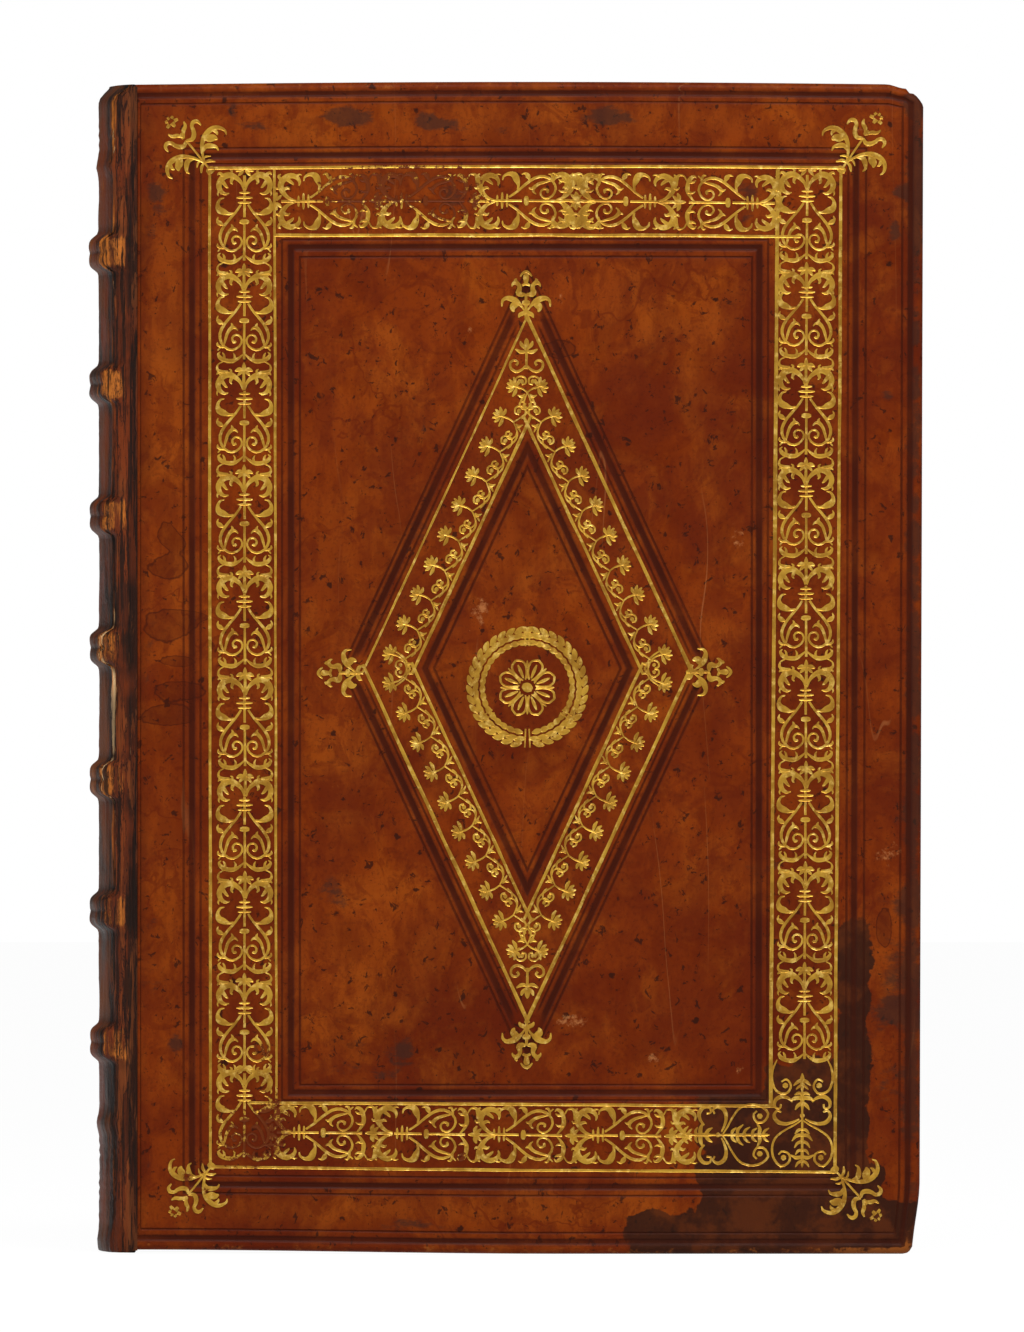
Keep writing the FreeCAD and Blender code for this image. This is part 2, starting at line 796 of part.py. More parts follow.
def make_spine_leather():
    """One piece of leather moulded over the cords, open at the joints, with head and tail caps."""
    wires = [section_wire(lift, 0, z, 0) for z, lift in spine_stations()]
    outside = Part.makeLoft(wires, True, True)
    leather = size("leather_thickness")
    tail = size("cap_setback")
    head = size("board_height") - size("cap_setback")
    lip = size("cap_lip")
    extra = size("leather_thickness")
    through = section_prism(0, leather + size("cap_reach"), tail - lip, head + lip, extra)
    cutters = [through]
    half = size("cord_width") + size("cord_gap") / 2
    floors = [tail + lip]
    for centre in band_heights:
        cutters.append(back_strip(block_skin, centre - half, centre + half, cord_top))
        floors += [centre - half, centre + half]
    floors.append(head - lip)
    for low, high in zip(floors, floors[1:]):
        cutters.append(section_prism(0, leather, low, high, extra))
    feature = doc.addObject("Part::Feature", "spine_leather")
    feature.Shape = outside.cut(cutters)
    if not feature.Shape.Volume < outside.Volume / 2:
        raise ValueError("spine leather isn't hollow")
    return keep(feature, "spine_leather")


def make_sewing_cords():
    """Pairs of hemp cords that the gatherings are sewn round, under the raised bands."""
    near = size("cord_gap") / 2
    far = near + size("cord_width")
    depth = block_skin - size("paste_gap")
    top = cord_top - size("paste_gap")
    cords = []
    for centre in band_heights:
        cords.append(back_strip(depth, centre - far, centre - near, top))
        cords.append(back_strip(depth, centre + near, centre + far, top))
    feature = doc.addObject("Part::Feature", "sewing_cords")
    feature.Shape = Part.makeCompound(cords)
    return keep(feature, "sewing_cords")


def make_spine_linings():
    """Parchment strips pasted on the block's back between the cords."""
    half = size("cord_width") + size("cord_gap") / 2
    edges = [block_tail]
    for centre in band_heights:
        edges += [centre - half, centre + half]
    edges.append(block_head)
    top = back_radius - size("leather_thickness") - size("paste_gap")
    strips = []
    for low, high in zip(edges[::2], edges[1::2]):
        strips.append(back_strip(block_skin - size("paste_gap"), low, high, top))
    feature = doc.addObject("Part::Feature", "spine_linings")
    feature.Shape = Part.makeCompound(strips)
    return keep(feature, "spine_linings")


def make_text_block():
    """The leaves: rounded back with shoulders that hold the boards, and a hollow fore edge."""
    edges = section_edges(0, block_skin, block_tail)
    start = edges[0].Vertexes[0].Point
    end = edges[2].Vertexes[-1].Point
    fore = fore_x - size("fore_square")
    hollow = fore - size("fore_edge_hollow")
    corners = [
        end, Vector(joint_x, block_half, block_tail), Vector(fore, block_half, block_tail),
        Vector(fore, -block_half, block_tail), Vector(joint_x, -block_half, block_tail), start,
    ]
    edges.append(Part.makeLine(corners[0], corners[1]))
    edges.append(Part.makeLine(corners[1], corners[2]))
    edges.append(Part.Arc(corners[2], Vector(hollow, 0, block_tail), corners[3]).toShape())
    edges.append(Part.makeLine(corners[3], corners[4]))
    edges.append(Part.makeLine(corners[4], corners[5]))
    feature = doc.addObject("Part::Feature", "text_block")
    feature.Shape = Part.Face(Part.Wire(edges)).extrude(Vector(0, 0, block_head - block_tail))
    return keep(feature, "text_block")


def make_endband(low, label):
    """A thread-covered core that bends round the back of the block, under the leather cap."""
    outer = back_radius - size("leather_thickness") - size("paste_gap")
    inner = outer - size("endband_width")
    bevel = size("endband_width") * 0.25
    tall = size("endband_height")
    outline = [(inner, 0), (outer, 0), (outer, tall), (inner + bevel, tall), (inner, tall - bevel)]
    corners = [Vector(back_centre - radius, 0, low + rise) for radius, rise in outline]
    face = Part.Face(Part.makePolygon(corners + corners[:1]))
    turn = outline_turn(0)
    axis = Vector(back_centre, 0, 0)
    face.rotate(axis, Vector(0, 0, 1), -turn)
    feature = doc.addObject("Part::Feature", label)
    feature.Shape = face.revolve(axis, Vector(0, 0, 1), 2 * turn)
    return keep(feature, label)


# Assembly

make_text_block()
make_spine_leather()
make_sewing_cords()
make_spine_linings()
make_endband(block_head, "head_endband")
make_endband(block_tail - size("endband_height"), "tail_endband")

for side, cover in ((-1, "front"), (1, "back")):
    make_board(side, cover + "_board")
    make_slips(side, cover + "_cord_slips")
    make_pastedown(side, cover + "_pastedown")
    figures = border_tooling()
    fields = []
    if side < 0:
        figures += lozenge_tooling()
        fields = front_fields()
    make_cover_leather(side, cover + "_leather", figures, fields)

make_gilt(border_faces(), "front_gilt_border")
make_gilt(lozenge_faces(), "front_gilt_lozenge")
make_gilt(fleuron_faces(), "front_gilt_fleurons")
make_gilt(medallion_faces(), "front_gilt_medallion")

# Checks and export

doc.recompute()
for item in doc.Objects:
    if "Invalid" in item.State or "Error" in item.State:
        raise ValueError(item.Name + " has failed")

os.makedirs("parts", exist_ok=True)
for feature in finished:
    shape = feature.Shape
    if shape.isNull() or not shape.isValid():
        raise ValueError(feature.Label + " has no valid shape")
    if not shape.Solids:
        raise ValueError(feature.Label + " has no solid")
    shape.exportStep("parts/%s.step" % feature.Label)
    print(feature.Label, len(shape.Solids), "solids, volume", round(shape.Volume, 1))
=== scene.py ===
import math

import bpy
import numpy as np
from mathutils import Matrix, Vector


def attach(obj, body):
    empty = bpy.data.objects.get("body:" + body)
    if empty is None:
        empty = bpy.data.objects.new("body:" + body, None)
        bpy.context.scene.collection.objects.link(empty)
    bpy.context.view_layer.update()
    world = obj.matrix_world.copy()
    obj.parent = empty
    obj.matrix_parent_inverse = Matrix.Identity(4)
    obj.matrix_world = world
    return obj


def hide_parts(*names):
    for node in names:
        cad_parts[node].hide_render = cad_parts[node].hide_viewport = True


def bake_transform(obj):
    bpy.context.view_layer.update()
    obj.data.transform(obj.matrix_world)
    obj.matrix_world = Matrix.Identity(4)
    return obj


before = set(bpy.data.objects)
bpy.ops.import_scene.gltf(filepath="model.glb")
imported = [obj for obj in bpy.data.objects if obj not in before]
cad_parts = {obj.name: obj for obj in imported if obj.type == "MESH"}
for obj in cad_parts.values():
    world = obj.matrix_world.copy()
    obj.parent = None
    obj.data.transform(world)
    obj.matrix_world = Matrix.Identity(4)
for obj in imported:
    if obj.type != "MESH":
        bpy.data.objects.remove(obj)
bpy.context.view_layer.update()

mm = 0.001
print("frame loaded")

# the book, in millimetres: joint line and edges of the covers, levels of their faces
book = dict(joint=-133.4, start=-133.1, fore=149.4, head=420.0, half=32.8, middle=8.0, mid=210.0,
            board=27.2, inner=26.6, block=26.0, backCentre=-71.733, backRadius=74.467, reach=12.8)
pixel = 0.3587          # one step of the tools' drawing grid


def smooth(low, high, value):
    # 0 below low, 1 above high, and 3t^2 - 2t^3 between
    t = np.clip((value - low) / (high - low), 0, 1)
    return t * t * (3 - 2 * t)


def lumps(u, v, size, seed):
    # value noise from -1 to 1: hashed corners of a square lattice, blended by smooth steps
    x, y = u / size, v / size
    i, j = np.floor(x), np.floor(y)
    s, t = x - i, y - j
    s, t = s * s * (3 - 2 * s), t * t * (3 - 2 * t)

    def corner(a, b):
        h = np.sin(a * 127.1 + b * 311.7 + seed * 74.7) * 43758.5453
        return (h - np.floor(h)) * 2 - 1
    low = corner(i, j) * (1 - s) + corner(i + 1, j) * s
    high = corner(i, j + 1) * (1 - s) + corner(i + 1, j + 1) * s
    return low * (1 - t) + high * t


def blobs(x, z, spots):
    # sum of soft ellipses (x, z, half width, half height, strength)
    total = np.zeros(np.shape(x))
    for cx, cz, rx, rz, strength in spots:
        total = total + strength * np.exp(-((x - cx) / rx) ** 2 - ((z - cz) / rz) ** 2)
    return total


def gridSpots(*spots):
    # spots given on the drawing grid (column, row, half width, half height, strength) to millimetres
    return [((a - 505) * pixel, (1254 - b) * pixel, c * pixel, d * pixel, s) for a, b, c, d, s in spots]


def settle(x, z):
    # how far a worn cover has moved, sideways and up. Up: half a sine along the head edge less half its
    # height, a rise of the tail edge by the joint, and drops at the worn head corner of the fore edge.
    # Sideways: the fore edge leans in proportion to the height, and is rubbed in at the tail corner
    headEdge = smooth(300, book["head"], z)
    up = 1.0 * np.sin(np.clip((x + 133) / 282, 0, 1) * math.pi) * headEdge - 0.5 * headEdge
    up = up + 1.5 * smooth(20, -133, x) * smooth(60, 0, z)
    for drop, start, end, low in ((1.5, 136, 143, 396), (1.6, 143.2, 144.4, 404), (2.2, 145, 149.4, 408)):
        up = up - drop * smooth(start, end, x) * smooth(low, book["head"], z)
    side = 0.7 * (z - book["mid"]) / book["mid"] * smooth(60, 149, x)
    side = side - 2.6 * smooth(26, 0, z) * smooth(128, 149, x)
    return side, up


def cockle(x, z):
    # the face's slight waves: three sizes of lumps, the finest the lowest
    return lumps(x, z, 60, 1) * 0.22 + lumps(x, z, 21, 2) * 0.1 + lumps(x, z, 5, 4) * 0.035


def gridFaces(rows, columns, wrap=True, first=0):
    # quads between neighbouring rows and columns; wrap closes each row
    r = np.arange(rows - 1)
    c = np.arange(columns if wrap else columns - 1)
    r, c = np.meshgrid(r, c, indexing="ij")
    n = (c + 1) % columns
    return (np.stack([r * columns + c, r * columns + n, (r + 1) * columns + n, (r + 1) * columns + c], -1)
            .reshape(-1, 4) + first)


def endCaps(rows, columns, first=0):
    # the two polygons that close a tube of wrapped rows, the first one turned over
    ring = np.arange(columns)
    return np.array([ring[::-1] + first, ring + first + (rows - 1) * columns])


def outward(points, faces):
    # the signed volume of the closed shape tells whether its faces point outwards
    volume = 0.0
    for f in faces:
        a = points[f[:, 0]]
        for k in range(1, f.shape[1] - 1):
            volume += np.einsum("ij,ij->i", a, np.cross(points[f[:, k]], points[f[:, k + 1]])).sum()
    return faces if volume > 0 else [f[:, ::-1] for f in faces]


def makePiece(name, points, faces, material, body, nodes=(), fields=None, crease=40):
    # a mesh from points in millimetres and from faces grouped by their number of corners. Each field is
    # one number a point; the nodes are the solids that the piece stands for
    points = np.asarray(points, float).reshape(-1, 3)
    faces = outward(points, faces)
    mesh = bpy.data.meshes.new(name)
    mesh.vertices.add(len(points))
    mesh.vertices.foreach_set("co", (points * mm).ravel())
    flat = np.concatenate([f.ravel() for f in faces])
    totals = np.concatenate([np.full(len(f), f.shape[1]) for f in faces])
    starts = np.concatenate([[0], np.cumsum(totals)[:-1]])
    mesh.loops.add(len(flat))
    mesh.loops.foreach_set("vertex_index", flat.astype(np.int32))
    mesh.polygons.add(len(totals))
    mesh.polygons.foreach_set("loop_start", starts.astype(np.int32))
    mesh.polygons.foreach_set("loop_total", totals.astype(np.int32))
    mesh.polygons.foreach_set("use_smooth", np.ones(len(totals), bool))
    mesh.update(calc_edges=True)
    mesh.set_sharp_from_angle(angle=math.radians(crease))
    for key, values in (fields or {}).items():
        layer = mesh.attributes.new(key, "FLOAT", "POINT")
        layer.data.foreach_set("value", np.asarray(values, np.float32).ravel())
    piece = bpy.data.objects.new(name, mesh)
    bpy.context.scene.collection.objects.link(piece)
    mesh.materials.append(material)
    if body:
        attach(piece, body)
    if nodes:
        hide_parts(*nodes)
    print(name, "made,", int((totals - 2).sum()), "triangles")
    return piece


def paint(red, green, blue):
    # a colour written as 0 to 255 in the picture's own scale, to linear light
    c = np.array([red, green, blue]) / 255
    linear = np.where(c <= 0.04045, c / 12.92, ((c + 0.055) / 1.055) ** 2.4)
    return (*[float(v) for v in linear], 1.0)


def tones(look):
    # every colour of a look in linear light
    return {key: paint(*value) for key, value in look.items() if isinstance(value, tuple)}


class Finish:
    # a material and short ways to add its nodes: a value is a number, a colour or another node's output
    def __init__(self, name):
        self.material = bpy.data.materials.new(name)
        self.material.use_nodes = True
        self.tree = self.material.node_tree
        self.shader = next(n for n in self.tree.nodes if n.type == "BSDF_PRINCIPLED")
        self.place = self.add("ShaderNodeTexCoord").outputs["Object"]

    def add(self, kind, inputs=None, **settings):
        node = self.tree.nodes.new(kind)
        for key, value in settings.items():
            setattr(node, key, value)
        for key, value in (inputs or {}).items():
            self.put(node.inputs[key], value)
        return node

    def put(self, socket, value):
        if isinstance(value, bpy.types.NodeSocket):
            self.tree.links.new(value, socket)
        else:
            socket.default_value = value

    def stretch(self, x, y, z, turn=0.0):
        return self.add("ShaderNodeMapping", {"Vector": self.place, "Rotation": (0, turn, 0),
                                              "Scale": (x, y, z)}).outputs[0]

    def noise(self, scale, detail=4, rough=0.55, vector=None, warp=0.0):
        node = self.add("ShaderNodeTexNoise", {"Vector": vector or self.place, "Scale": scale,
                                               "Detail": detail, "Roughness": rough, "Distortion": warp})
        return node.outputs["Fac"]

    def field(self, name):
        return self.add("ShaderNodeAttribute", attribute_name=name).outputs["Fac"]

    def sums(self, operation, a, b, clamp=False):
        return self.add("ShaderNodeMath", {0: a, 1: b}, operation=operation, use_clamp=clamp).outputs[0]

    def plus(self, a, b, clamp=False):
        return self.sums("ADD", a, b, clamp)

    def times(self, a, b, clamp=False):
        return self.sums("MULTIPLY", a, b, clamp)

    def sway(self, amount, *noise, **more):
        # a noise shifted to stand on both sides of 0, and scaled
        return self.times(self.sums("SUBTRACT", self.noise(*noise, **more), 0.5), amount)

    def band(self, value, low, high, start=0.0, end=1.0):
        # start below low, end above high, smooth between
        node = self.add("ShaderNodeMapRange", {"Value": value, "From Min": low, "From Max": high,
                                               "To Min": start, "To Max": end},
                        interpolation_type="SMOOTHSTEP")
        return node.outputs["Result"]

    def line(self, value, middle, low, high, strength):
        # strength where the value is within low of its middle, 0 beyond high
        away = self.sums("ABSOLUTE", self.sums("SUBTRACT", value, middle), 0.0)
        return self.band(away, low, high, strength, 0.0)

    def mix(self, share, first, second):
        node = self.add("ShaderNodeMix", data_type="RGBA")
        for socket, value in ((node.inputs[0], share), (node.inputs[6], first), (node.inputs[7], second)):
            self.put(socket, value)
        return node.outputs[2]

    def lay(self, colour, tone, layers):
        # one tone after another over the colour, each by its own share
        for key, share in layers:
            colour = self.mix(share, colour, tone[key])
        return colour

    def finish(self, colour, rough, bump=None, depth=0.0, specular=0.3):
        self.put(self.shader.inputs["Base Color"], colour)
        self.put(self.shader.inputs["Roughness"], rough)
        self.shader.inputs["Specular IOR Level"].default_value = specular
        if bump is not None:
            node = self.add("ShaderNodeBump", {"Height": bump, "Distance": depth, "Strength": 1.0})
            self.tree.links.new(node.outputs[0], self.shader.inputs["Normal"])
        return self.material


# groove is the dark of the tooled lines, pores and tide lines, also laid as painted shade along the joint
leatherLook = dict(
    deep=(82, 22, 1), field=(112, 42, 2), warm=(138, 66, 10), groove=(50, 13, 3), stain=(44, 28, 20),
    patch=(38, 18, 9), mend=(68, 31, 11), scuff=(158, 98, 54), raw=(136, 74, 26), speck=(34, 12, 5),
    grain=0.00006, specular=0.06)


def calf(name, look, patched=True):
    # brown calf, laid on in turn: clouds, fibres, pores, damp, flecks, scratches, scuffs, stains, the dark
    # repair, raw edges, and the tooling with painted shade along the joint. Noises spread the tones, and the
    # piece's fields place the marks
    f = Finish(name)
    tone = tones(look)
    fibre = f.noise(140, 4, 0.65, f.stretch(1, 1, 0.45))
    pores = f.noise(900, 2, 0.6)
    colour = f.mix(f.band(f.noise(15, 5, 0.62, warp=0.5), 0.34, 0.62), tone["deep"], tone["field"])
    tide = f.line(f.noise(11, 5, 0.55, warp=0.6), 0.5, 0.001, 0.007, 0.6)
    damp = f.plus(f.field("damp"), f.sway(0.9, 70, 4, 0.6))
    net = f.add("ShaderNodeTexVoronoi", {"Vector": f.place, "Scale": 130.0})
    fleckRim = f.plus(net.outputs["Distance"], f.sway(0.5, 500, 2))
    cell = f.add("ShaderNodeSeparateColor", {"Color": net.outputs["Color"]}).outputs[0]
    colour = f.lay(colour, tone, (
        ("warm", f.times(f.band(f.noise(30, 5, 0.66, warp=0.9), 0.44, 0.7), 0.5)),
        ("warm", f.plus(f.field("warm"), 0.0, True)),
        ("deep", f.band(f.noise(8, 3, 0.5, warp=0.3), 0.5, 0.7, 0.0, 0.35)),
        ("deep", f.band(fibre, 0.4, 0.62, 0.0, 0.5)),
        ("deep", f.band(f.noise(75, 4, 0.7, warp=1.2), 0.5, 0.62, 0.0, 0.5)),
        ("groove", f.band(pores, 0.5, 0.75, 0.0, 0.3)),
        ("speck", f.band(f.noise(300, 3, 0.7, warp=0.5), 0.6, 0.67, 0.0, 0.8)),
        ("deep", f.times(tide, f.band(f.noise(7, 1), 0.5, 0.6))),
        ("groove", f.band(damp, 0.48, 0.54, 0.0, 0.3)),
        ("groove", f.line(damp, 0.51, 0.012, 0.05, 0.62)),
        ("speck", f.times(f.band(fleckRim, 0.08, 0.16, 0.85, 0.0), f.band(cell, 0.8, 0.84)))))
    for turn, stretch in ((0.6, 0.1), (-1.1, 0.08)):
        lay = f.stretch(1, 1, stretch, turn)
        scratch = f.line(f.noise(48, 2, 0.4, lay), 0.5, 0.001, 0.004, 1.0)
        scratch = f.times(scratch, f.band(f.noise(60, 2, 0.6, lay), 0.58, 0.68, 0, 0.3))
        colour = f.mix(scratch, colour, tone["scuff"])
    ragged = f.sway(1.6, 260, 4, 0.7)
    scuff = f.band(f.plus(f.field("scuff"), ragged), 0.45, 0.75)
    stain = f.band(f.plus(f.field("stain"), f.sway(2.2, 90, 5, 0.75, f.stretch(0.5, 1, 1))), 0.34, 0.66)
    colour = f.lay(colour, tone, (("scuff", f.times(scuff, 0.75)), ("stain", f.times(stain, 0.66))))
    if patched:
        repair = f.band(f.plus(f.field("patch"), f.sway(1.2, 90, 4, 0.65)), 0.46, 0.54)
        mottled = f.mix(f.band(f.noise(70, 4, 0.65), 0.44, 0.6), tone["patch"], tone["mend"])
        colour = f.mix(f.times(repair, 0.9), colour, mottled)
    edge = f.band(f.plus(f.field("edge"), f.times(ragged, 1.3)), 0.4, 0.8)
    # the groove field: the tooled lines' dark, and painted shade along the joint
    colour = f.lay(colour, tone, (("raw", f.times(edge, 0.75)),
                                  ("groove", f.times(f.field("groove"), 0.93, True))))
    rough = f.band(f.plus(f.noise(60, 2), f.times(f.field("groove"), -0.25)), 0.25, 0.75, 0.42, 0.62)
    height = f.plus(f.plus(f.times(fibre, 1.6), f.times(pores, 0.7)), f.times(scuff, -0.8))
    return f.finish(colour, rough, height, look["grain"], look["specular"])


# groove: near black for dark lines, dirt and the crack, and for painted shade in the creases and the joint
spineLook = dict(dark=(25, 12, 5), brown=(104, 54, 22), red=(106, 42, 10), orange=(172, 98, 34),
                 bare=(214, 176, 128), groove=(12, 5, 3), grain=0.0003, specular=0.1)


def worn(name, look):
    # the spine's leather: clouded on its back and streaked upwards on its flanks, from nearly black where it
    # is dirty and where shade is painted into its creases, to orange where it is rubbed, with bare flakes
    # along the torn joint
    f = Finish(name)
    tone = tones(look)
    flank = f.field("flank")
    streak = f.noise(75, 5, 0.7, f.stretch(2.6, 2.6, 0.3), warp=0.4)
    fine = f.noise(60, 5, 0.72, f.stretch(8, 8, 0.32), warp=0.2)
    patchy = f.noise(40, 4, 0.62, f.stretch(1, 1, 0.6))
    pores = f.noise(700, 3, 0.6)
    cloud = f.noise(28, 5, 0.62, f.stretch(1, 1, 0.8), warp=0.3)
    grain = f.plus(cloud, f.times(flank, f.sums("SUBTRACT", streak, cloud)))
    broad = f.mix(f.band(cloud, 0.34, 0.64), tone["dark"], tone["brown"])
    sharp = f.mix(f.band(streak, 0.46, 0.55), tone["dark"], tone["brown"])
    rubbed = f.band(f.plus(f.field("wear"), f.times(f.sums("SUBTRACT", grain, 0.5), 2.0)), 0.3, 0.6)
    lively = f.plus(f.times(flank, 0.75), 0.15)
    colour = f.lay(f.mix(flank, broad, sharp), tone, (
        ("red", f.band(patchy, 0.48, 0.64, 0.0, 0.75)),
        ("red", f.times(f.field("red"), f.band(fine, 0.36, 0.6, 0.3, 0.95))),
        ("orange", f.times(rubbed, f.band(pores, 0.3, 0.6, 0.6, 1.0))),
        ("dark", f.times(f.band(fine, 0.5, 0.57), lively)),
        ("groove", f.times(f.line(streak, 0.5, 0.002, 0.014, 1.0), lively))))
    flake = f.band(f.plus(f.field("crack"), f.sway(1.8, 240, 5, 0.7, f.stretch(2.4, 2.4, 0.5))), 0.5, 0.62)
    colour = f.mix(flake, colour, f.mix(f.band(fine, 0.42, 0.6), tone["bare"], tone["orange"]))
    # the groove field: dirt, the crack and darker leather, and painted shade in the joint's crease, between
    # the cords and at the bands' feet
    colour = f.mix(f.times(f.field("groove"), 0.95, True), colour, tone["groove"])
    height = f.plus(f.times(grain, 3.0), f.plus(pores, f.times(flake, -1.5)))
    return f.finish(colour, f.band(grain, 0.3, 0.7, 0.42, 0.62), height, look["grain"], look["specular"])


goldLook = dict(leaf=(186, 142, 50), bright=(224, 186, 96), dull=(148, 104, 34), bare=(92, 38, 8),
                shine=0.34, metal=0.55, grain=0.00003)


def goldLeaf(name, look):
    # leaf pressed into leather: speckled with pores, and gone where hands rubbed it off
    f = Finish(name)
    tone = tones(look)
    colour = f.mix(f.band(f.noise(120, 5, 0.6), 0.35, 0.65), tone["dull"], tone["leaf"])
    gone = f.band(f.plus(f.field("worn"), f.sway(1.9, 520, 6, 0.7)), 0.44, 0.56)
    colour = f.lay(colour, tone, (("bright", f.band(f.noise(420, 4, 0.6), 0.5, 0.7, 0, 0.7)), ("bare", gone)))
    metal = f.sums("SUBTRACT", look["metal"], f.times(gone, look["metal"]), True)
    f.put(f.shader.inputs["Metallic"], metal)
    return f.finish(colour, f.band(gone, 0, 1, look["shine"], 0.5), f.noise(900, 3), look["grain"], 0.08)


paperLook = dict(pale=(202, 180, 138), old=(192, 167, 124), spot=(128, 92, 52), dust=(138, 116, 84))


def leafEdges(name, look):
    # edges of hundreds of leaves: fine lines along the leaves, browned and dusty, and spotted flyleaves
    f = Finish(name)
    tone = tones(look)
    lines = f.noise(9, 6, 0.75, f.stretch(1, 420, 1))
    colour = f.lay(f.mix(f.band(lines, 0.38, 0.66), tone["old"], tone["pale"]), tone, (
        ("dust", f.band(f.noise(28, 6, 0.65, f.stretch(1, 3, 1)), 0.5, 0.74, 0, 0.45)),
        ("spot", f.band(f.noise(150, 3), 0.66, 0.78, 0, 0.7))))
    colour = f.mix(f.field("flyleaf"), colour, sheet(f, tone))
    return f.finish(colour, 0.85, lines, 0.00025)


def sheet(f, tone):
    # a leaf's face: pale and browned clouds with foxing
    colour = f.mix(f.band(f.noise(40, 4, 0.6), 0.35, 0.7), tone["pale"], tone["old"])
    return f.mix(f.band(f.noise(120, 3, 0.6), 0.64, 0.76, 0, 0.6), colour, tone["spot"])


def oldPaper(name, look):
    # laid paper: faint lines across the foxed sheet
    f = Finish(name)
    laid = f.add("ShaderNodeTexWave", {"Vector": f.place, "Scale": 160.0, "Distortion": 0.6},
                 wave_type="BANDS", bands_direction="Z").outputs["Fac"]
    height = f.plus(f.times(laid, 0.5), f.noise(500, 4))
    return f.finish(sheet(f, tones(look)), 0.8, height, 0.00006)


def twisted(name, base, dark, scale):
    # hemp or pasted fibres: fibres with darker gaps
    f = Finish(name)
    fibre = f.noise(scale, 5, 0.7, f.stretch(1, 0.4, 1))
    return f.finish(f.mix(f.band(fibre, 0.35, 0.65), paint(*dark), paint(*base)), 0.85, fibre, 0.0002, 0.25)


def threadFinish(name, pale=(176, 154, 108), faded=(70, 74, 76), dust=(98, 76, 48)):
    # undyed and faded blue thread by turns
    f = Finish(name)
    colour = f.mix(f.field("stripe"), paint(*pale), paint(*faded))
    colour = f.mix(f.band(f.noise(120, 4), 0.45, 0.7, 0, 0.6), colour, paint(*dust))
    return f.finish(colour, 0.8, f.noise(1500, 4, 0.7), 0.0001)


frontCalf = calf("calf_front", leatherLook)
backCalf = calf("calf_back", leatherLook, patched=False)
spineCalf = worn("calf_spine", spineLook)
gold = goldLeaf("gold_leaf", goldLook)
leafEdge = leafEdges("leaf_edges", paperLook)
pastePaper = oldPaper("old_paper", paperLook)
hemp = twisted("hemp", (148, 122, 82), (92, 70, 42), 900)
boardStuff = twisted("pasteboard", (126, 104, 74), (92, 74, 50), 400)
skin = twisted("parchment", (188, 168, 126), (160, 136, 92), 220)
silk = threadFinish("endband_silk")
print("materials made")

# insets of the blind lines from the joint, fore, tail and head edges, then width and depth
fillets = dict(
    outerWide=((0.9, 4.4, 4.3, 4.1), 2.2, 0.38), outerThin=((2.4, 7.4, 7.5, 7.2), 0.8, 0.25),
    nearThin=((17.8, 20.4, 20.8, 23.3), 0.8, 0.22), nearWide=((20.8, 24.0, 24.0, 26.1), 2.3, 0.38),
    nearLast=((23.9, 26.7, 27.3, 29.0), 0.8, 0.2),
    insideThin=((53.1, 55.2, 55.0, 56.3), 0.8, 0.22), insideWide=((56.3, 58.3, 57.8, 59.1), 2.4, 0.4),
    insideLast=((59.5, 60.9, 60.6, 62.5), 0.8, 0.24))
lozenge = dict(tall=126.1, wide=58.4, band=16.2, outside=((2.1, 0.8, 0.2), (4.8, 2.4, 0.4), (7.3, 0.9, 0.22)),
               inside=((3.5, 2.3, 0.4), (6.4, 0.9, 0.24)))
lozengeReach = lozenge["tall"] * lozenge["wide"] / math.hypot(lozenge["tall"], lozenge["wide"])
# a groove's section: share of its width, share of its depth, share of its dirt
groovePlan = ((-0.72, -0.1, 0.12), (-0.5, 0, 0.4), (-0.44, 0.35, 0.75), (-0.28, 1, 1), (0.28, 1, 1),
              (0.44, 0.35, 0.75), (0.5, 0, 0.4), (0.72, -0.12, 0.12))
# the turn-in's rows: inset at the joint, inset elsewhere and level; then the edge's radius and its steps
turnIn = dict(rows=((1.0, 16, book["board"] + 0.05), (1.0, 16, book["inner"]), (0.7, 9, book["inner"]),
                    (0.3, 2.2, book["inner"])),
              radius=2.2, inside=(30, 60, 90), outside=(0, 25, 50, 70))


def sideShares(count):
    # steps along a half side, closer at both ends: six tenths even, four tenths half a cosine
    t = np.arange(count) / count
    return 0.6 * t + 0.4 * (1 - np.cos(t * math.pi)) / 2


def ringLine(anchors, counts=(50, 75)):
    # a closed ring through eight anchors, corners and middles by turns, straight between them
    a = np.asarray(anchors, float)
    parts = []
    for k in range(8):
        t = sideShares(counts[0] if k in (0, 3, 4, 7) else counts[1])[:, None]
        parts.append(a[k] + t * (a[(k + 1) % 8] - a[k]))
    return np.concatenate(parts)


def boxAnchors(insets):
    # head corner at the joint, middle of the head, and on round by the fore edge
    left, right = book["start"] + insets[0], book["fore"] - insets[1]
    low, high = insets[2], book["head"] - insets[3]
    cx, cz = book["middle"], book["mid"]
    return [(left, high), (cx, high), (right, high), (right, cz), (right, low), (cx, low), (left, low),
            (left, cz)]


def lozengeAnchors(scale):
    # the lozenge's points and the middles of its sides, all scaled from its centre
    cx, cz = book["middle"], book["mid"]
    a, b = lozenge["wide"] * scale, lozenge["tall"] * scale
    return [(cx - a / 2, cz + b / 2), (cx, cz + b), (cx + a / 2, cz + b / 2), (cx + a, cz),
            (cx + a / 2, cz - b / 2), (cx, cz - b), (cx - a / 2, cz - b / 2), (cx - a, cz)]


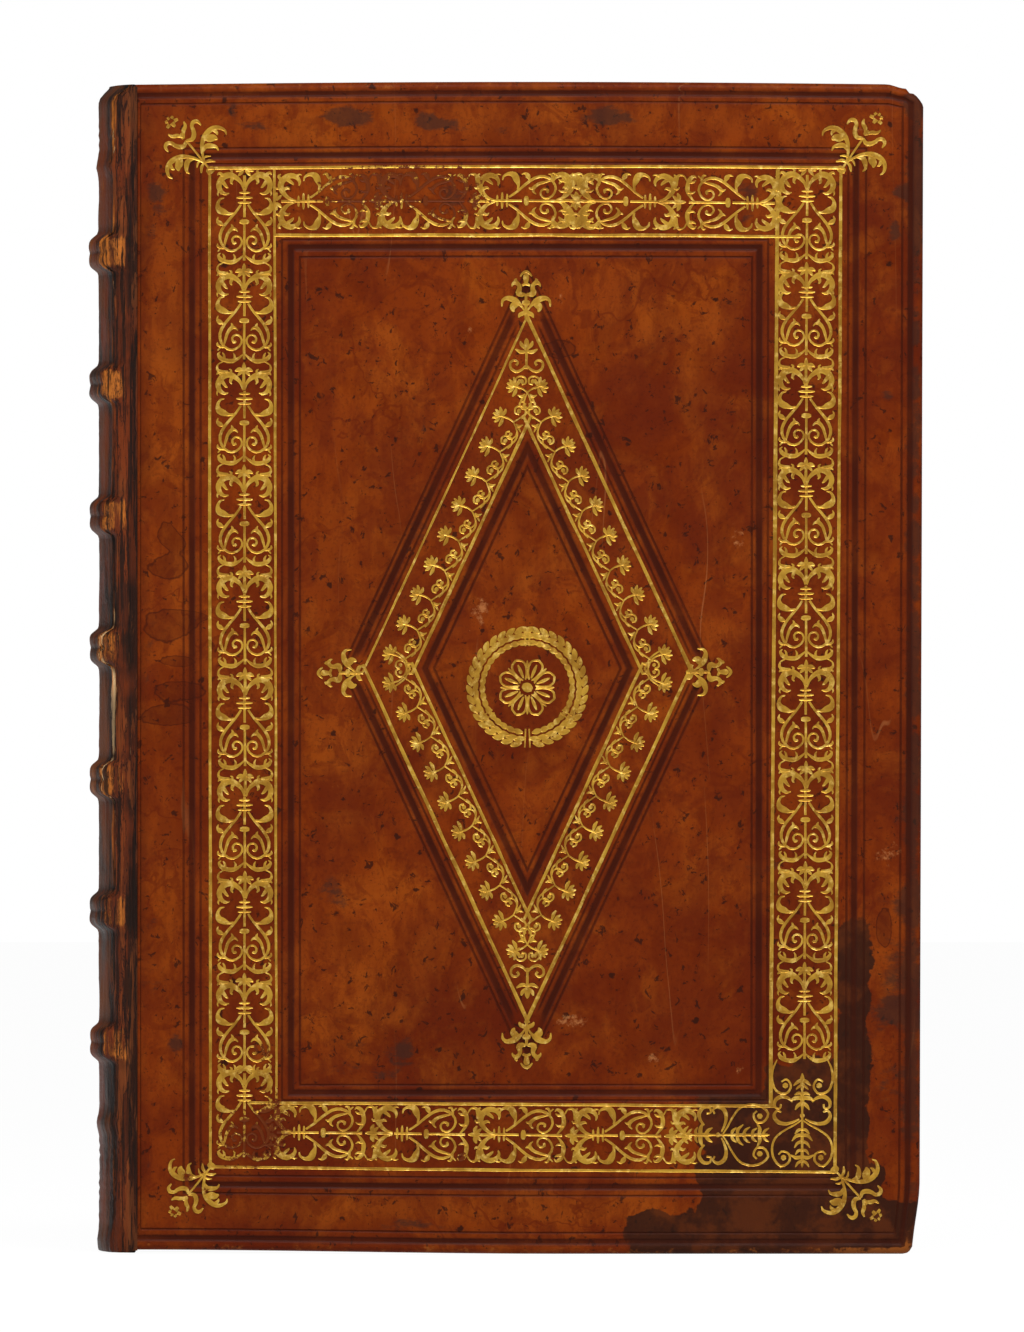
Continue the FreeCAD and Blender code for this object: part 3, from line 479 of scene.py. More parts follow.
def coverRings(figured):
    # rows of the cover's skin from the turn-in's inner edge, round the edge, to the middle of the face:
    # each is (anchors, depth of the row from the book's middle, groove share, kind)
    face, rows = book["half"], []

    def flat(insets, level, groove=0.0, kind="face"):
        rows.append((boxAnchors(insets), level, groove, kind))
    for joint, inset, level in turnIn["rows"]:
        flat((joint, inset, inset, inset), level, 0, "inside")
    r = turnIn["radius"]
    for turn in np.radians(turnIn["inside"]):
        inset = r * (1 - math.sin(turn))
        flat((0, inset, inset, inset), book["inner"] + r * (1 - math.cos(turn)), 0, "inside")
    for turn in np.radians(turnIn["outside"]):
        inset = r * (1 - math.cos(turn))
        flat((0, inset, inset, inset), face - r * (1 - math.sin(turn)), 0, "edge")
    flat((0.25, r, r, r), face, 0, "edge")

    def fillet(name):
        (joint, *others), width, depth = fillets[name]
        squeeze = 0.35 if name.startswith("outer") else 1.0
        darkening = 1.0 if width > 1.5 else 0.75
        for offset, deep, dark in groovePlan:
            shift = offset * width
            insets = (joint + shift * squeeze, *(inset + shift for inset in others))
            rows.append((boxAnchors(insets), face - depth * deep, dark * darkening, name))

    def lozengeLine(start, width, depth, kind):
        darkening = 1.0 if width > 1.5 else 0.8
        for share, deep, dark in groovePlan:
            scale = 1 + (start - share * width) / lozengeReach
            rows.append((lozengeAnchors(scale), face - depth * deep * figured, dark * darkening * figured, kind))

    def plain(start, end, count):
        for t in (np.arange(count) + 1) / (count + 1):
            flat(tuple(a + (b - a) * t for a, b in zip(start, end)), face)
    fillet("outerWide")
    fillet("outerThin")
    plain((3.2, 8.2, 8.3, 8.0), (17.2, 19.8, 20.2, 22.7), 6)
    for name in ("nearThin", "nearWide", "nearLast"):
        fillet(name)
    plain((24.6, 27.5, 28.1, 29.8), (52.4, 54.4, 54.3, 55.6), 11)
    for name in ("insideThin", "insideWide", "insideLast"):
        fillet(name)
    last = boxAnchors((60.4, 61.8, 61.5, 63.4))
    edge = lozengeAnchors(1 + 8.3 / lozengeReach)
    for t in (np.arange(22) + 1) / 23:
        between = [tuple(np.array(p) * (1 - t) + np.array(q) * t) for p, q in zip(last, edge)]
        rows.append((between, face, 0.0, "face"))
    for offset, width, depth in lozenge["outside"][::-1]:
        lozengeLine(offset, width, depth, "outside")
    for t in (0.6, -3.5, -8, -12.5, -17):
        rows.append((lozengeAnchors(1 + t / lozengeReach), face, 0.0, "face"))
    for offset, width, depth in lozenge["inside"]:
        lozengeLine(-(lozenge["band"] + offset), width, depth, "face")
    inner = 1 - (lozenge["band"] + 7.6) / lozengeReach
    for t in (np.arange(20) + 1) / 20.5:
        rows.append((lozengeAnchors(inner * (1 - t)), face, 0.0, "face"))
    return rows


# marks read off the photo, on the drawing grid
marks = dict(
    stain=gridSpots(
        (232, 107, 9, 7, 0.75), (262, 126, 26, 4, 0.8), (290, 116, 14, 4, 0.65), (349, 116, 24, 12, 0.75),
        (156, 195, 10, 20, 0.7), (178, 228, 6, 6, 0.6), (152, 232, 7, 12, 0.6), (424, 118, 10, 14, 0.6),
        (392, 110, 5, 4, 0.6), (748, 190, 14, 16, 0.65), (743, 222, 9, 10, 0.7), (893, 228, 8, 18, 0.75),
        (900, 190, 10, 6, 0.55), (914, 98, 22, 14, 0.85), (915, 180, 9, 90, 0.6), (914, 660, 9, 560, 0.7),
        (177, 1046, 9, 16, 0.8), (206, 1037, 10, 4, 0.6), (152, 926, 10, 6, 0.5), (148, 1113, 6, 3, 0.6),
        (149, 1166, 4, 11, 0.65), (168, 1005, 14, 24, 0.35), (150, 660, 10, 55, 0.35),
        (610, 118, 34, 10, 0.75), (345, 118, 26, 6, 0.7), (438, 126, 22, 6, 0.8), (505, 132, 30, 8, 0.5),
        (450, 194, 16, 20, 0.55), (420, 522, 12, 18, 0.5), (335, 890, 20, 20, 0.6), (885, 395, 9, 9, 0.6),
        (404, 1048, 14, 16, 0.7), (375, 1060, 40, 26, 0.4), (245, 205, 20, 12, 0.2),
        (412, 1226, 34, 8, 0.75), (458, 1158, 8, 6, 0.8), (897, 1010, 34, 170, 0.4),
        (905, 905, 12, 12, 0.5), (893, 1003, 12, 16, 0.5), (250, 780, 14, 20, 0.3),
        (560, 1000, 16, 30, 0.3), (378, 392, 8, 8, 0.5), (425, 428, 4, 7, 0.5), (770, 880, 24, 60, 0.25),
        (820, 700, 10, 16, 0.35), (620, 455, 8, 6, 0.4)),
    damp=gridSpots(
        (166, 533, 12, 13, 1.0), (179, 545, 11, 8, 0.8), (165, 567, 24, 13, 1.0), (157, 589, 15, 5, 0.9),
        (165, 625, 25, 17, 1.0), (198, 619, 20, 5, 0.9), (178, 661, 21, 6, 0.9), (178, 690, 30, 11, 1.0),
        (170, 716, 32, 12, 1.0), (885, 930, 10, 26, 0.9), (560, 350, 30, 12, 0.7)),
    scuff=gridSpots(
        (482, 615, 14, 26, 0.5), (740, 540, 10, 24, 0.55), (580, 1022, 18, 10, 0.5),
        (885, 850, 26, 22, 0.45), (470, 330, 12, 5, 0.6), (436, 386, 22, 5, 0.45), (860, 130, 12, 10, 0.4),
        (655, 1058, 14, 10, 0.45), (565, 1020, 12, 8, 0.4), (740, 1070, 9, 9, 0.6), (560, 296, 5, 9, 0.5),
        (300, 640, 12, 30, 0.3), (700, 200, 40, 8, 0.25), (600, 930, 30, 14, 0.25)),
    warm=gridSpots(
        (170, 360, 26, 200, 0.45), (165, 900, 24, 120, 0.35), (350, 600, 60, 220, 0.15),
        (500, 118, 300, 24, 0.4), (420, 1210, 260, 18, 0.4), (670, 300, 90, 50, 0.25),
        (360, 960, 60, 60, 0.3), (520, 560, 60, 90, 0.15)))


def mended(x, z):
    # how much the dark repair covers, 0.5 at its rim: the tail corner at the fore edge, the border's corner,
    # a strip up the fore edge and another along the tail. Each part is the distance inside its limits
    wave = lumps(x, z, 17, 3) * 4 + lumps(x, z, 6, 8) * 2
    tail = np.minimum(x - 70 + wave, 27 - z + 0.5 * wave + 0.1 * (110 - x) + 7 * smooth(116, 128, x))
    tail = np.minimum(tail, 136 - x + 0.8 * wave + 1.5 * np.maximum(16 - z, 0))
    foot = np.minimum(np.minimum(x - 74 + 1.3 * wave, 57 - z + 0.4 * wave), 124 - x)
    corner = np.minimum(np.minimum(x - 93 + 0.4 * wave, 67 - z + wave), 127 - x)
    strip = np.minimum(np.minimum(x - 119.5, 130.5 - x) + 0.4 * wave, 118 - z + wave)
    thin = np.minimum(x - 44 + wave, 13 - z + wave * 0.6 + 0.16 * np.clip(x - 44, None, 40))
    reach = np.max([tail, foot, corner, strip, thin], axis=0)
    return np.clip(0.5 + reach * 0.12, 0, 1)


# the skin: its corner's radius, thickness, how deep the turn-in's inner side lies, how far the face sinks and
# how high it may rise, raw leather on the edge and on the turn-in, and where the lozenge's lines stop
cover = dict(corner=3.4, thick=0.9, under=0.3, sink=0.12, highest=0.35, rim=0.3, turned=0.05,
             stops=((8.0, 336.1), (8.0, 83.9), (66.4, 210.0), (-50.4, 210.0)))


def roundCorners(x, z):
    # the square fore corners: what lies beyond a corner's centre is drawn in from square to round reach
    for sign in (-1, 1):
        cz = book["mid"] + sign * (book["mid"] - cover["corner"])
        cx = book["fore"] - cover["corner"]
        dx, dz = x - cx, (z - cz) * sign
        out = (dx > 0) & (dz > 0)
        scale = np.where(out, np.maximum(dx, dz) / np.maximum(np.hypot(dx, dz), 1e-6), 1)
        x, z = np.where(out, cx + dx * scale, x), np.where(out, cz + sign * dz * scale, z)
    return x, z


def coverSkin(name, side, material, body, nodes, figured):
    # the covering leather of one board: rings carried from the turn-in over the edge to the face
    rows = coverRings(figured)
    plan = np.stack([ringLine(row[0]) for row in rows])  # rows x columns x (x, z)
    columns = plan.shape[1]
    level, groove = (np.array([row[k] for row in rows])[:, None] * np.ones(columns) for k in (1, 2))
    kinds = np.array([row[3] for row in rows])[:, None]
    x, z = roundCorners(plan[..., 0], plan[..., 1])
    onFace = ((kinds == "face") | (kinds == "outside") | np.isin(kinds, list(fillets))) * np.ones(x.shape)
    if figured:
        # the outside lines round the lozenge stop short of the fleurons at its points
        near = np.min([np.hypot(x - px, z - pz) for px, pz in cover["stops"]], axis=0)
        stop = np.where(kinds == "outside", smooth(3.5, 7, near), 1)
        groove, level = groove * stop, book["half"] - (book["half"] - level) * np.where(onFace > 0, stop, 1)
    stray = lumps(x, z, 23, 5) * 0.5 + lumps(x, z, 7, 9) * 0.35
    groove = groove * np.clip(0.92 + 0.35 * stray, 0.3, 1.0)
    # the back has the same marks, squeezed and turned upside down
    fx, fz = (x, z) if side < 0 else (x * 0.97 + 13, book["head"] - z)
    fields = {key: blobs(fx, fz, marks[key]) for key in ("stain", "scuff", "warm", "damp")}
    fields["stain"] = np.clip(fields["stain"], 0, 1) * (1.0 if side < 0 else 0.8)
    fields["scuff"] = np.clip(fields["scuff"] + 0.16 * smooth(143, 147, x), 0, 1)
    fields["warm"] = np.clip(fields["warm"], 0, 0.6)
    fields["damp"] = np.clip(fields["damp"], 0, 1)
    fields["patch"] = mended(x, z) * (side < 0)
    groove = groove * (1 - 0.3 * smooth(0.6, 0.9, fields["patch"]))
    # painted shade of the joint's groove: the face is darkened along the joint, in the fillets by the joint
    # line
    reach = x + 1.6 * lumps(x, z, 22, 31) + 2.0 * (book["mid"] - z) / book["mid"]
    darkening = smooth(-125.5, -131.5, reach) * (0.55 + 0.45 * lumps(x * 3, z, 9, 33))
    fields["groove"] = np.clip(np.maximum(groove, 0.75 * darkening * (onFace > 0)), 0, 1)
    # raw leather shows at the rubbed edges, most of all at the tail corner of the fore edge
    rim = (kinds == "edge") * cover["rim"] + (kinds == "inside") * cover["turned"]
    rim = rim * (1 - 0.75 * smooth(138, 146, x) * smooth(2, 9, z))
    corners = smooth(46, 6, np.hypot(x - 149, z)) * 0.45
    fields["edge"] = np.clip(rim + rim * 2 * corners + corners * 0.4 * smooth(14, 2, z)
                             + smooth(3, 0.5, z) * (0.08 + 0.25 * smooth(118, 128, x)), 0, 1)
    # the face cockles, and lies flat at its edge
    inset = np.minimum(np.minimum(book["fore"] - x, z), book["head"] - z)
    level = level + np.where(onFace > 0, cockle(x, z) * smooth(0, 12, inset) - cover["sink"], 0)
    level = np.minimum(level, book["half"] + cover["highest"])
    sx, sz = settle(x, z)
    grid = np.stack([x + sx, side * level, z + sz], -1)
    # the inner face: the turn-in's rows lie inside the board's outline, the others under the skin
    turned = kinds == "inside"
    inner = grid.copy()
    inner[..., 1] = side * np.clip(np.where(turned, level + cover["under"], level - cover["thick"]),
                                   book["board"] + 0.05, None)
    pull = np.where(turned | (kinds == "edge"), 1.0, 0.0) * np.ones(columns)
    inner[..., 0] -= np.clip(inner[..., 0] - 148.4, 0, 1) * pull
    inner[..., 2] -= np.clip(inner[..., 2] - 419.0, 0, 1) * pull
    inner[..., 2] += np.clip(1.0 - inner[..., 2], 0, 1) * pull
    kept = slice(2, len(rows))
    inner = inner[kept]
    # each face's last ring closes on one middle point
    centre = np.array([[book["middle"], side * book["half"], book["mid"]]])
    points = np.concatenate([grid.reshape(-1, 3), centre, inner.reshape(-1, 3),
                             centre + np.array([[0, -side * cover["thick"], 0]])])
    first = len(rows) * columns + 1
    top, low = (len(rows) - 1) * columns, first + (len(inner) - 1) * columns
    ring = np.arange(columns)
    follow = (ring + 1) % columns
    faces = [gridFaces(len(rows), columns), gridFaces(len(inner), columns, first=first)[:, ::-1],
             np.stack([top + ring, top + follow, np.full(columns, first - 1)], -1),
             np.stack([low + follow, low + ring, np.full(columns, len(points) - 1)], -1),
             np.stack([follow, ring, first + ring, first + follow], -1)]
    extra = {key: np.concatenate([v.ravel(), v[-1, :1], v[kept].ravel(), v[-1, :1]])
             for key, v in fields.items()}
    makePiece(name, points, faces, material, body, nodes, extra, crease=60)


# the pasteboard's outlines: how far inside the cover, and their levels
core = dict(rows=((1.6, book["board"]), (1.1, book["board"] + 0.5), (1.1, 31.0), (1.6, 31.5)))


def boardCore(name, side, body, node):
    # the pasteboard under the skin: one outline at each level, drawn in as the cover is worn
    rings = []
    for inset, level in core["rows"]:
        line = ringLine(boxAnchors((0.12, inset + 1.2, inset, inset + 1.2)))
        sx, sz = settle(line[:, 0], line[:, 1])
        rings.append(np.stack([line[:, 0] + sx, np.full(len(line), side * level), line[:, 1] + sz], -1))
    columns = len(rings[0])
    centres = np.array([[book["middle"], side * core["rows"][k][1], book["mid"]] for k in (0, -1)])
    points = np.concatenate([*rings, centres])
    c = np.arange(columns)
    n = (c + 1) % columns
    last = 3 * columns
    faces = [gridFaces(4, columns), np.stack([n, c, np.full(columns, 4 * columns)], -1),
             np.stack([last + c, last + n, np.full(columns, 4 * columns + 1)], -1)]
    makePiece(name, points, faces, boardStuff, body, (node,), crease=50)


boardCore("front_board_core", -1, "front_cover", "front_board")
boardCore("back_board_core", 1, "back_cover", "back_board")
coverSkin("front_cover_leather", -1, frontCalf, "front_cover", ("front_leather",), 1.0)
coverSkin("back_cover_leather", 1, backCalf, "back_cover", ("back_leather",), 0.0)


def strokeLine(points, samples):
    # a smooth curve through (across, along, width) points: Catmull-Rom, evenly resampled
    p = np.asarray(points, float)
    if len(p) == 2:
        t = np.linspace(0, 1, samples)[:, None]
        return p[0] + t * (p[1] - p[0])
    padded = np.concatenate([[2 * p[0] - p[1]], p, [2 * p[-1] - p[-2]]])
    t = np.linspace(0, len(p) - 1 - 1e-6, samples)
    k = t.astype(int)
    s = (t - k)[:, None]
    a, b, c, d = padded[k], padded[k + 1], padded[k + 2], padded[k + 3]
    return 0.5 * (2 * b + (c - a) * s + (2 * a - 5 * b + 4 * c - d) * s ** 2
                  + (3 * b - a - 3 * c + d) * s ** 3)


# a stroke's section: share of its half width, and height
troughPlan = np.array([(-1, 0.2), (-0.5, 0.1), (0, 0.06), (0.5, 0.1), (1, 0.2), (0.7, -0.25), (-0.7, -0.25)])


def troughStrip(line, half, scale=1.0):
    # the section carried along a line, square to it: points (across, along, height) and height unscaled
    step = np.gradient(line, axis=0)
    step /= np.maximum(np.linalg.norm(step, axis=1, keepdims=True), 1e-9)
    normal = np.stack([-step[:, 1], step[:, 0]], -1)
    ring = line[:, None] + normal[:, None] * (half[:, None] * troughPlan[:, 0])[..., None]
    height = np.repeat(troughPlan[None, :, 1], len(line), 0)
    return np.concatenate([ring * scale, height[..., None]], -1).reshape(-1, 3)


def troughs(strokes):
    # every stroke as a closed strip: a shallow trough along the curve, as wide as the tool's line.
    # Returns points (across, along, height) in millimetres, and faces
    points, quads, caps, first = [], [], [], 0
    n = len(troughPlan)
    for stroke in strokes:
        samples = 2 if len(stroke) == 2 else min(26, 3 * len(stroke) - 1)
        line = strokeLine(stroke, samples)
        points.append(troughStrip(line[:, :2], np.maximum(line[:, 2] * 0.94, 0.5) / 2, pixel))
        quads.append(gridFaces(samples, n, first=first))
        caps.append(endCaps(samples, n, first))
        first += samples * n
    return np.concatenate(points), [np.concatenate(quads), np.concatenate(caps)]


def mirrored(strokes):
    # the strokes, and the same with their first coordinate turned over
    return strokes + [[(-a, b, w) for a, b, w in stroke] for stroke in strokes]


def drawn(*rows):
    # strokes from rows of numbers: across, along and width of each point by turns. A row of four is a bead:
    # a short bar given by its middle, half length and thickness, half as thick at its ends as between
    strokes = []
    for row in rows:
        if len(row) == 4:
            x, y, half, thick = row
            row = (x - half, y, thick * 0.5, x - half * 0.5, y, thick, x + half * 0.5, y, thick,
                   x + half, y, thick * 0.5)
        strokes.append([row[k:k + 3] for k in range(0, len(row), 3)])
    return strokes


# the roll's repeat, across and along the border from its cross bars
rollStrokes = drawn(
    (0, -5, 5.6, 2.4), (0, 0, 8.2, 2.7), (0, 5, 6.8, 2.4), (0, -8, 2.6, 0, 20, 2.6), (0, 24.6, 4.8, 5.2),
    (0, 27, 2.4, 0, 64, 2.8), (0, 80, 3, 0, 92, 3.4),
    (0, 67, 1.2, 0, 70.5, 4, 0, 74, 4.5, 0, 78, 4, 0, 81, 1.2)) + mirrored(drawn(
    (20.5, 0.3, 1.3, 24.6, 1.5, 2.4, 27.2, 6.5, 3.8, 25.8, 12, 7, 21, 14.6, 6.8, 15.5, 16.4, 3,
     11, 15.6, 2),
    (3.6, 7, 2.4, 9, 15, 2.6, 16, 23, 3, 22.5, 32, 3.3, 24.8, 41, 3.2, 21.5, 49.5, 2.8, 14, 54.3, 2.6,
     6.4, 52, 2.4, 2.4, 46, 2.2, 4.2, 40.4, 2.1, 9, 39, 2.2, 12.3, 42.6, 2.4, 10.6, 46.6, 2.9,
     8.2, 45.4, 2.6),
    (20.6, 50, 1.8, 18.6, 42, 3, 16.4, 36, 3.4, 12.6, 31.8, 4.2, 9, 32, 2.4, 6.6, 34.6, 1.1),
    (14, 33.4, 3, 12.2, 29.6, 2.8, 13.4, 27, 1), (26.6, 19.6, 1, 27.6, 23, 2.6, 25, 26, 5.4, 21.4, 27.6, 2),
    (19.6, 51.6, 2, 24, 51, 2.6, 27, 49.4, 2.6, 27, 46.6, 1), (23.6, 51.2, 2.2, 26.8, 55, 1.4),
    (1, 58.8, 1.6, 6, 63, 3, 12, 65.6, 4.8, 19, 65, 4.4, 24, 62.6, 4.6, 26.2, 58.6, 2.6, 24, 56.4, 1),
    (10, 65.4, 3, 9.4, 60.4, 2.2, 11, 57.4, 0.9), (20, 64, 3, 20.4, 59.6, 2.4, 22, 57, 1),
    (21, 66, 1.6, 26.4, 69.4, 1.7, 26.8, 74.6, 3, 22, 76.6, 3.6, 16, 76.4, 2),
    (1, 74, 2.2, 5, 74.2, 4.8, 9, 75.8, 1.4), (1, 75, 2, 4, 78, 3.6, 6.4, 80.6, 1.2),
    (0.6, 95, 2, 3, 88, 3.3, 8, 82.6, 5, 15, 79.4, 6.4, 22, 82, 6.6, 26, 89, 6, 24.4, 95.4, 5,
     20, 98.6, 3.4, 15.6, 98, 1.2), (12, 82, 4.2, 13.6, 86.6, 3, 12, 89, 1),
    (22.4, 86, 4.4, 18.6, 91, 3, 16.4, 92.6, 1), (21, 80.6, 4, 25.4, 77.4, 3, 27.6, 79.6, 1.2),
    (25.4, 94, 2.6, 27.2, 98.4, 1.8, 26.4, 101, 0.9), (14, 79, 3, 13, 75.4, 2.4, 15, 73.8, 1)))

# the finer tool of the repair: a heart with round flowers and a spiked spear of leaves
spearStrokes = drawn(
    (0, -34, 2, 0, 46, 2.8), (0, 40, 4, 0, 48, 1), (0, -48, 1.5, 0, -42, 5, 0, -34, 4, 0, -30, 1.4),
    (0, -31, 1.6, 0, -25, 4.4, 0, -17, 4, 0, -10, 2), (0, -5, 2.4, 4), (0, 12, 3, 0, 24, 3.6),
    (0, 29, 3, 0, 42, 3.4)) + mirrored(drawn(
    (1, 0, 1.6, 7.6, 4.3, 2, 18, 10, 2.2, 27, 17, 2.4, 31, 27, 2.4, 29.4, 38.6, 2.6, 22, 46.6, 2.6,
     13.6, 42.4, 2.6, 13.4, 34.6, 2.4, 20.4, 31.4, 2.2, 24.4, 35, 2),
    (16.6, 38, 3, 19.2, 38, 6.4, 21.8, 38, 3), (0, 9, 2, 4, 10, 3.4, 7.6, 14, 1.2),
    (0, 15, 3, 5.6, 15.6, 3.8, 10.6, 21, 1.2), (0, 21, 3, 5, 23.4, 3.2, 8, 28, 1),
    (0, 30, 2.4, 4, 31, 3.2, 7, 35, 1.2), (0, 37, 3.4, 6, 38, 4, 12.4, 35, 1.2),
    (0, 41, 3, 4.4, 43.4, 3, 7, 47.6, 1), (0, -23, 4, 6, -23, 4.6, 12.4, -20.6, 1.4),
    (0, -18, 4, 4.6, -15, 3.8, 7.4, -10.6, 1.2), (0, -27, 3, 4, -28, 3, 8, -26, 1.2),
    (10, -19, 1.8, 15, -23, 3.2, 22, -24.4, 4.4, 28, -20, 4, 28, -13.6, 2.8, 23, -12.4, 2.2,
     22, -16.6, 2.2),
    (3, -1.5, 1.6, 9, 1.4, 2.6, 17, 3.4, 3.6, 25, 1.6, 4.6, 29, -4.6, 3.8, 26, -10, 2.4, 21.6, -8.4, 2),
    (0, -42, 3, 5, -39, 3.6, 9, -35.5, 1.2), (0, -37, 2.4, 4, -34, 2.6, 6.4, -31.5, 1)))
upperStrokes = mirrored(drawn(
    (26, -62, 1.2, 30.4, -52, 2.4, 31, -40.5, 2.6, 26.6, -30, 2.6, 16.6, -27.6, 2.6, 11.6, -35, 2.4,
     16, -42, 2.2, 21.4, -39.4, 2), (14.6, -35.6, 3, 17.4, -35.6, 6, 20.2, -35.6, 3)))

# the vine between the lozenge's lines, along it and away from its outer line
vineStrokes = drawn(
    (0, 31.3, 1.5, 4, 36, 1.7, 9.3, 40, 1.9, 15, 41, 2, 20, 39.4, 2, 25, 36.6, 1.8, 33.6, 31.3, 1.5),
    (0, 31.3, 1.8, -1, 26, 1.9, -0.6, 20, 2.2, 0, 16, 2.6),
    (-6, 37.4, 1.5, -11, 39.2, 1.8, -16.6, 36.8, 1.9, -17.6, 31.4, 2, -13.6, 27.6, 2, -9, 29.4, 2,
     -9.4, 33.4, 2.2), (-14.4, 32, 2.4, -12.2, 32, 4.6, -10, 32, 2.4),
    (7, 38.6, 1.4, 12, 39.4, 1.6, 16.6, 36.4, 1.8, 16.4, 31.4, 1.9, 12.6, 29.4, 1.9, 9.8, 32.2, 2),
    (10.6, 34.4, 2, 12.4, 34.2, 3.8, 14.2, 34, 2), (0.6, 34.6, 1, 1.6, 38.4, 3, -1.4, 41.6, 1),
    (2.6, 35.6, 1, 3.4, 38.6, 2.6, 6.4, 42.6, 1), (0, 17, 3, 0, 13, 4.4, 0.2, 9.4, 1.6),
    (0, 16.6, 2.4, -2.6, 13, 3.2, -4, 9.8, 1.4), (0, 16.6, 2.4, 3, 13.4, 3.2, 4.8, 10.4, 1.4),
    (-0.6, 17, 2.4, -5, 15.4, 3.8, -8.2, 13, 1.4), (0.6, 17, 2.4, 5, 16, 3.8, 8.2, 14, 1.4),
    (-1, 18.6, 2, -5, 19.6, 3.8, -8.6, 19, 1.4), (0.6, 20, 2, 5.6, 20.6, 4, 10.4, 20, 1.4))

# the palmette in the lozenge's upper and lower points, up from its volutes
palmetteStrokes = drawn(
    (0, 2, 2.6, 0, 18, 3), (0, 18, 3, 0, 23, 6, 0, 29, 5, 0, 32, 1.4), (0, 1.6, 3, 4)) + mirrored(drawn(
    (1, 3, 2.4, 5, -1, 3, 11, -3, 3.2, 16.4, 0.4, 3, 17, 6.4, 2.8, 12.6, 9, 2.6, 9, 6.4, 2.4, 11, 3.6, 3),
    (0.6, 21, 3, 5, 25, 4.4, 6.4, 29, 1.4), (0.6, 18, 2.6, 6, 17.6, 4.4, 11.6, 20.6, 1.6)))

# the fleuron, up from its foot
fleuronStrokes = drawn(
    (0, 0, 3, 0, 14, 3.4), (0, 15.8, 4, 5.4), (0, 17, 3, 0, 25, 3), (-4, 33, 2.4, 0, 34.6, 3.2, 4, 33, 2.4),
    (0, 34, 3, 0, 38, 5.4, 0, 42, 6.4, 0, 44.4, 3),
    (-5.8, 42, 1.4, -3.4, 45, 2.6, 0, 46.8, 3.2, 3.4, 45, 2.6, 5.8, 42, 1.4)) + mirrored(drawn(
    (0.4, 7, 3.4, 3, 5.4, 4.4, 6, 3.8, 4.2, 7.4, 1, 1.2),
    (1.6, 8, 1.6, 5, 13, 2.8, 10, 17.4, 6.4, 15, 19.8, 6, 20, 20.4, 4.2, 23.6, 17.6, 3, 24.2, 12, 1.2),
    (9, 15, 5.4, 12.6, 12.6, 7.6, 13.2, 9.4, 5, 12, 6.8, 1.4),
    (1, 24.6, 2.2, 4, 24, 5, 7.4, 25.6, 6.4, 6.6, 30, 4.8, 7.2, 33.6, 4.2, 10.6, 36, 4.6, 13.6, 34, 2.6,
     14.2, 31.8, 1), (8, 35, 3, 10.6, 38, 3.6, 9.2, 39.8, 1.4)))

# the fleuron of the border's corners, out from the gilt frame's corner
cornerStrokes = drawn(
    (0, 1, 2.2, 0, 36, 2.2), (0, -1.6, 4.4, 7), (-7, 59, 3, -3, 60, 4.4), (0, 55, 3, 0, 60, 5.6),
    (3, 60, 4.4, 7, 59, 3), (-5, 64.4, 2.6, -2.4, 63.6, 4), (2.4, 63.6, 4, 5, 64.4, 2.6),
    (0, 64, 3, 0, 67, 2), (-1, 40, 3, 0, 43.6, 6, 1, 46, 2)) + mirrored(drawn(
    (0.5, 8, 2, 5, 6.4, 3.4, 9, 2, 1.4), (1, 12, 1.5, 5, 12, 2.4, 9, 9, 1),
    (0.5, 9, 2.2, 3, 14.4, 2.6, 8.4, 22.6, 3.8, 16.2, 28.4, 5.4, 25.4, 30, 5.6, 32.5, 27.1, 4.4,
     36, 20.5, 2.8, 34.6, 16, 1.2), (15, 27, 3, 19, 24, 8, 23, 21.4, 7, 25, 18, 1.5),
    (27, 29, 3, 28.6, 24.4, 3.4, 27.4, 21.4, 1),
    (6, 18, 2.4, 11, 19.8, 5, 15, 17.8, 5.6, 19, 13, 3, 18.4, 8.8, 1.2),
    (0, 37, 2.4, 5, 34.2, 4.6, 9.4, 36.4, 5, 12, 40.6, 4.2, 13.2, 44.6, 3.8, 17, 46.8, 4.4, 20.6, 44.6, 3.6,
     21, 39.5, 1.4), (0.6, 42, 2, 4, 46.4, 4.4, 8.4, 49, 3.6, 10, 53.4, 1.4)))


wreath = dict(leaves=19, middle=50.8, half=7.8, tie=9.4,
              lanes=((-0.66, -0.2, 10.5), (0.0, 0.12, 12.5), (0.6, 0.34, 12)))


def wreathStrokes():
    # laurel: leaves in threes along both halves of a ring, from the tail round to the head, and four ties.
    # Each lane of leaves has its share of the half width, its lean and its leaves' length
    strokes, middle = [], wreath["middle"]
    for side in (-1, 1):
        for k in range(wreath["leaves"]):
            a = math.radians(-90) + side * math.pi * (k + 0.3) / wreath["leaves"]
            for lane, lean, long in wreath["lanes"]:
                shift = a + side * (0.05 if lane else -0.02)
                r = middle + lane * wreath["half"]
                base = np.array([r * math.cos(shift), r * math.sin(shift)])
                turn = shift + side * math.pi / 2 - side * lean
                way = np.array([math.cos(turn), math.sin(turn)])
                strokes.append([(*base, 2.0), (*(base + way * long * 0.45), 6.2),
                                (*(base + way * long * 0.8), 4.4), (*(base + way * long), 1.0)])
    for a in (90, -90, 215, -35):
        for offset in (-2.2, 2.2):
            w = math.radians(a) + offset / middle
            strokes.append([(r * math.cos(w), r * math.sin(w), 1.6)
                            for r in (middle - wreath["tie"], middle + wreath["tie"])])
    return strokes


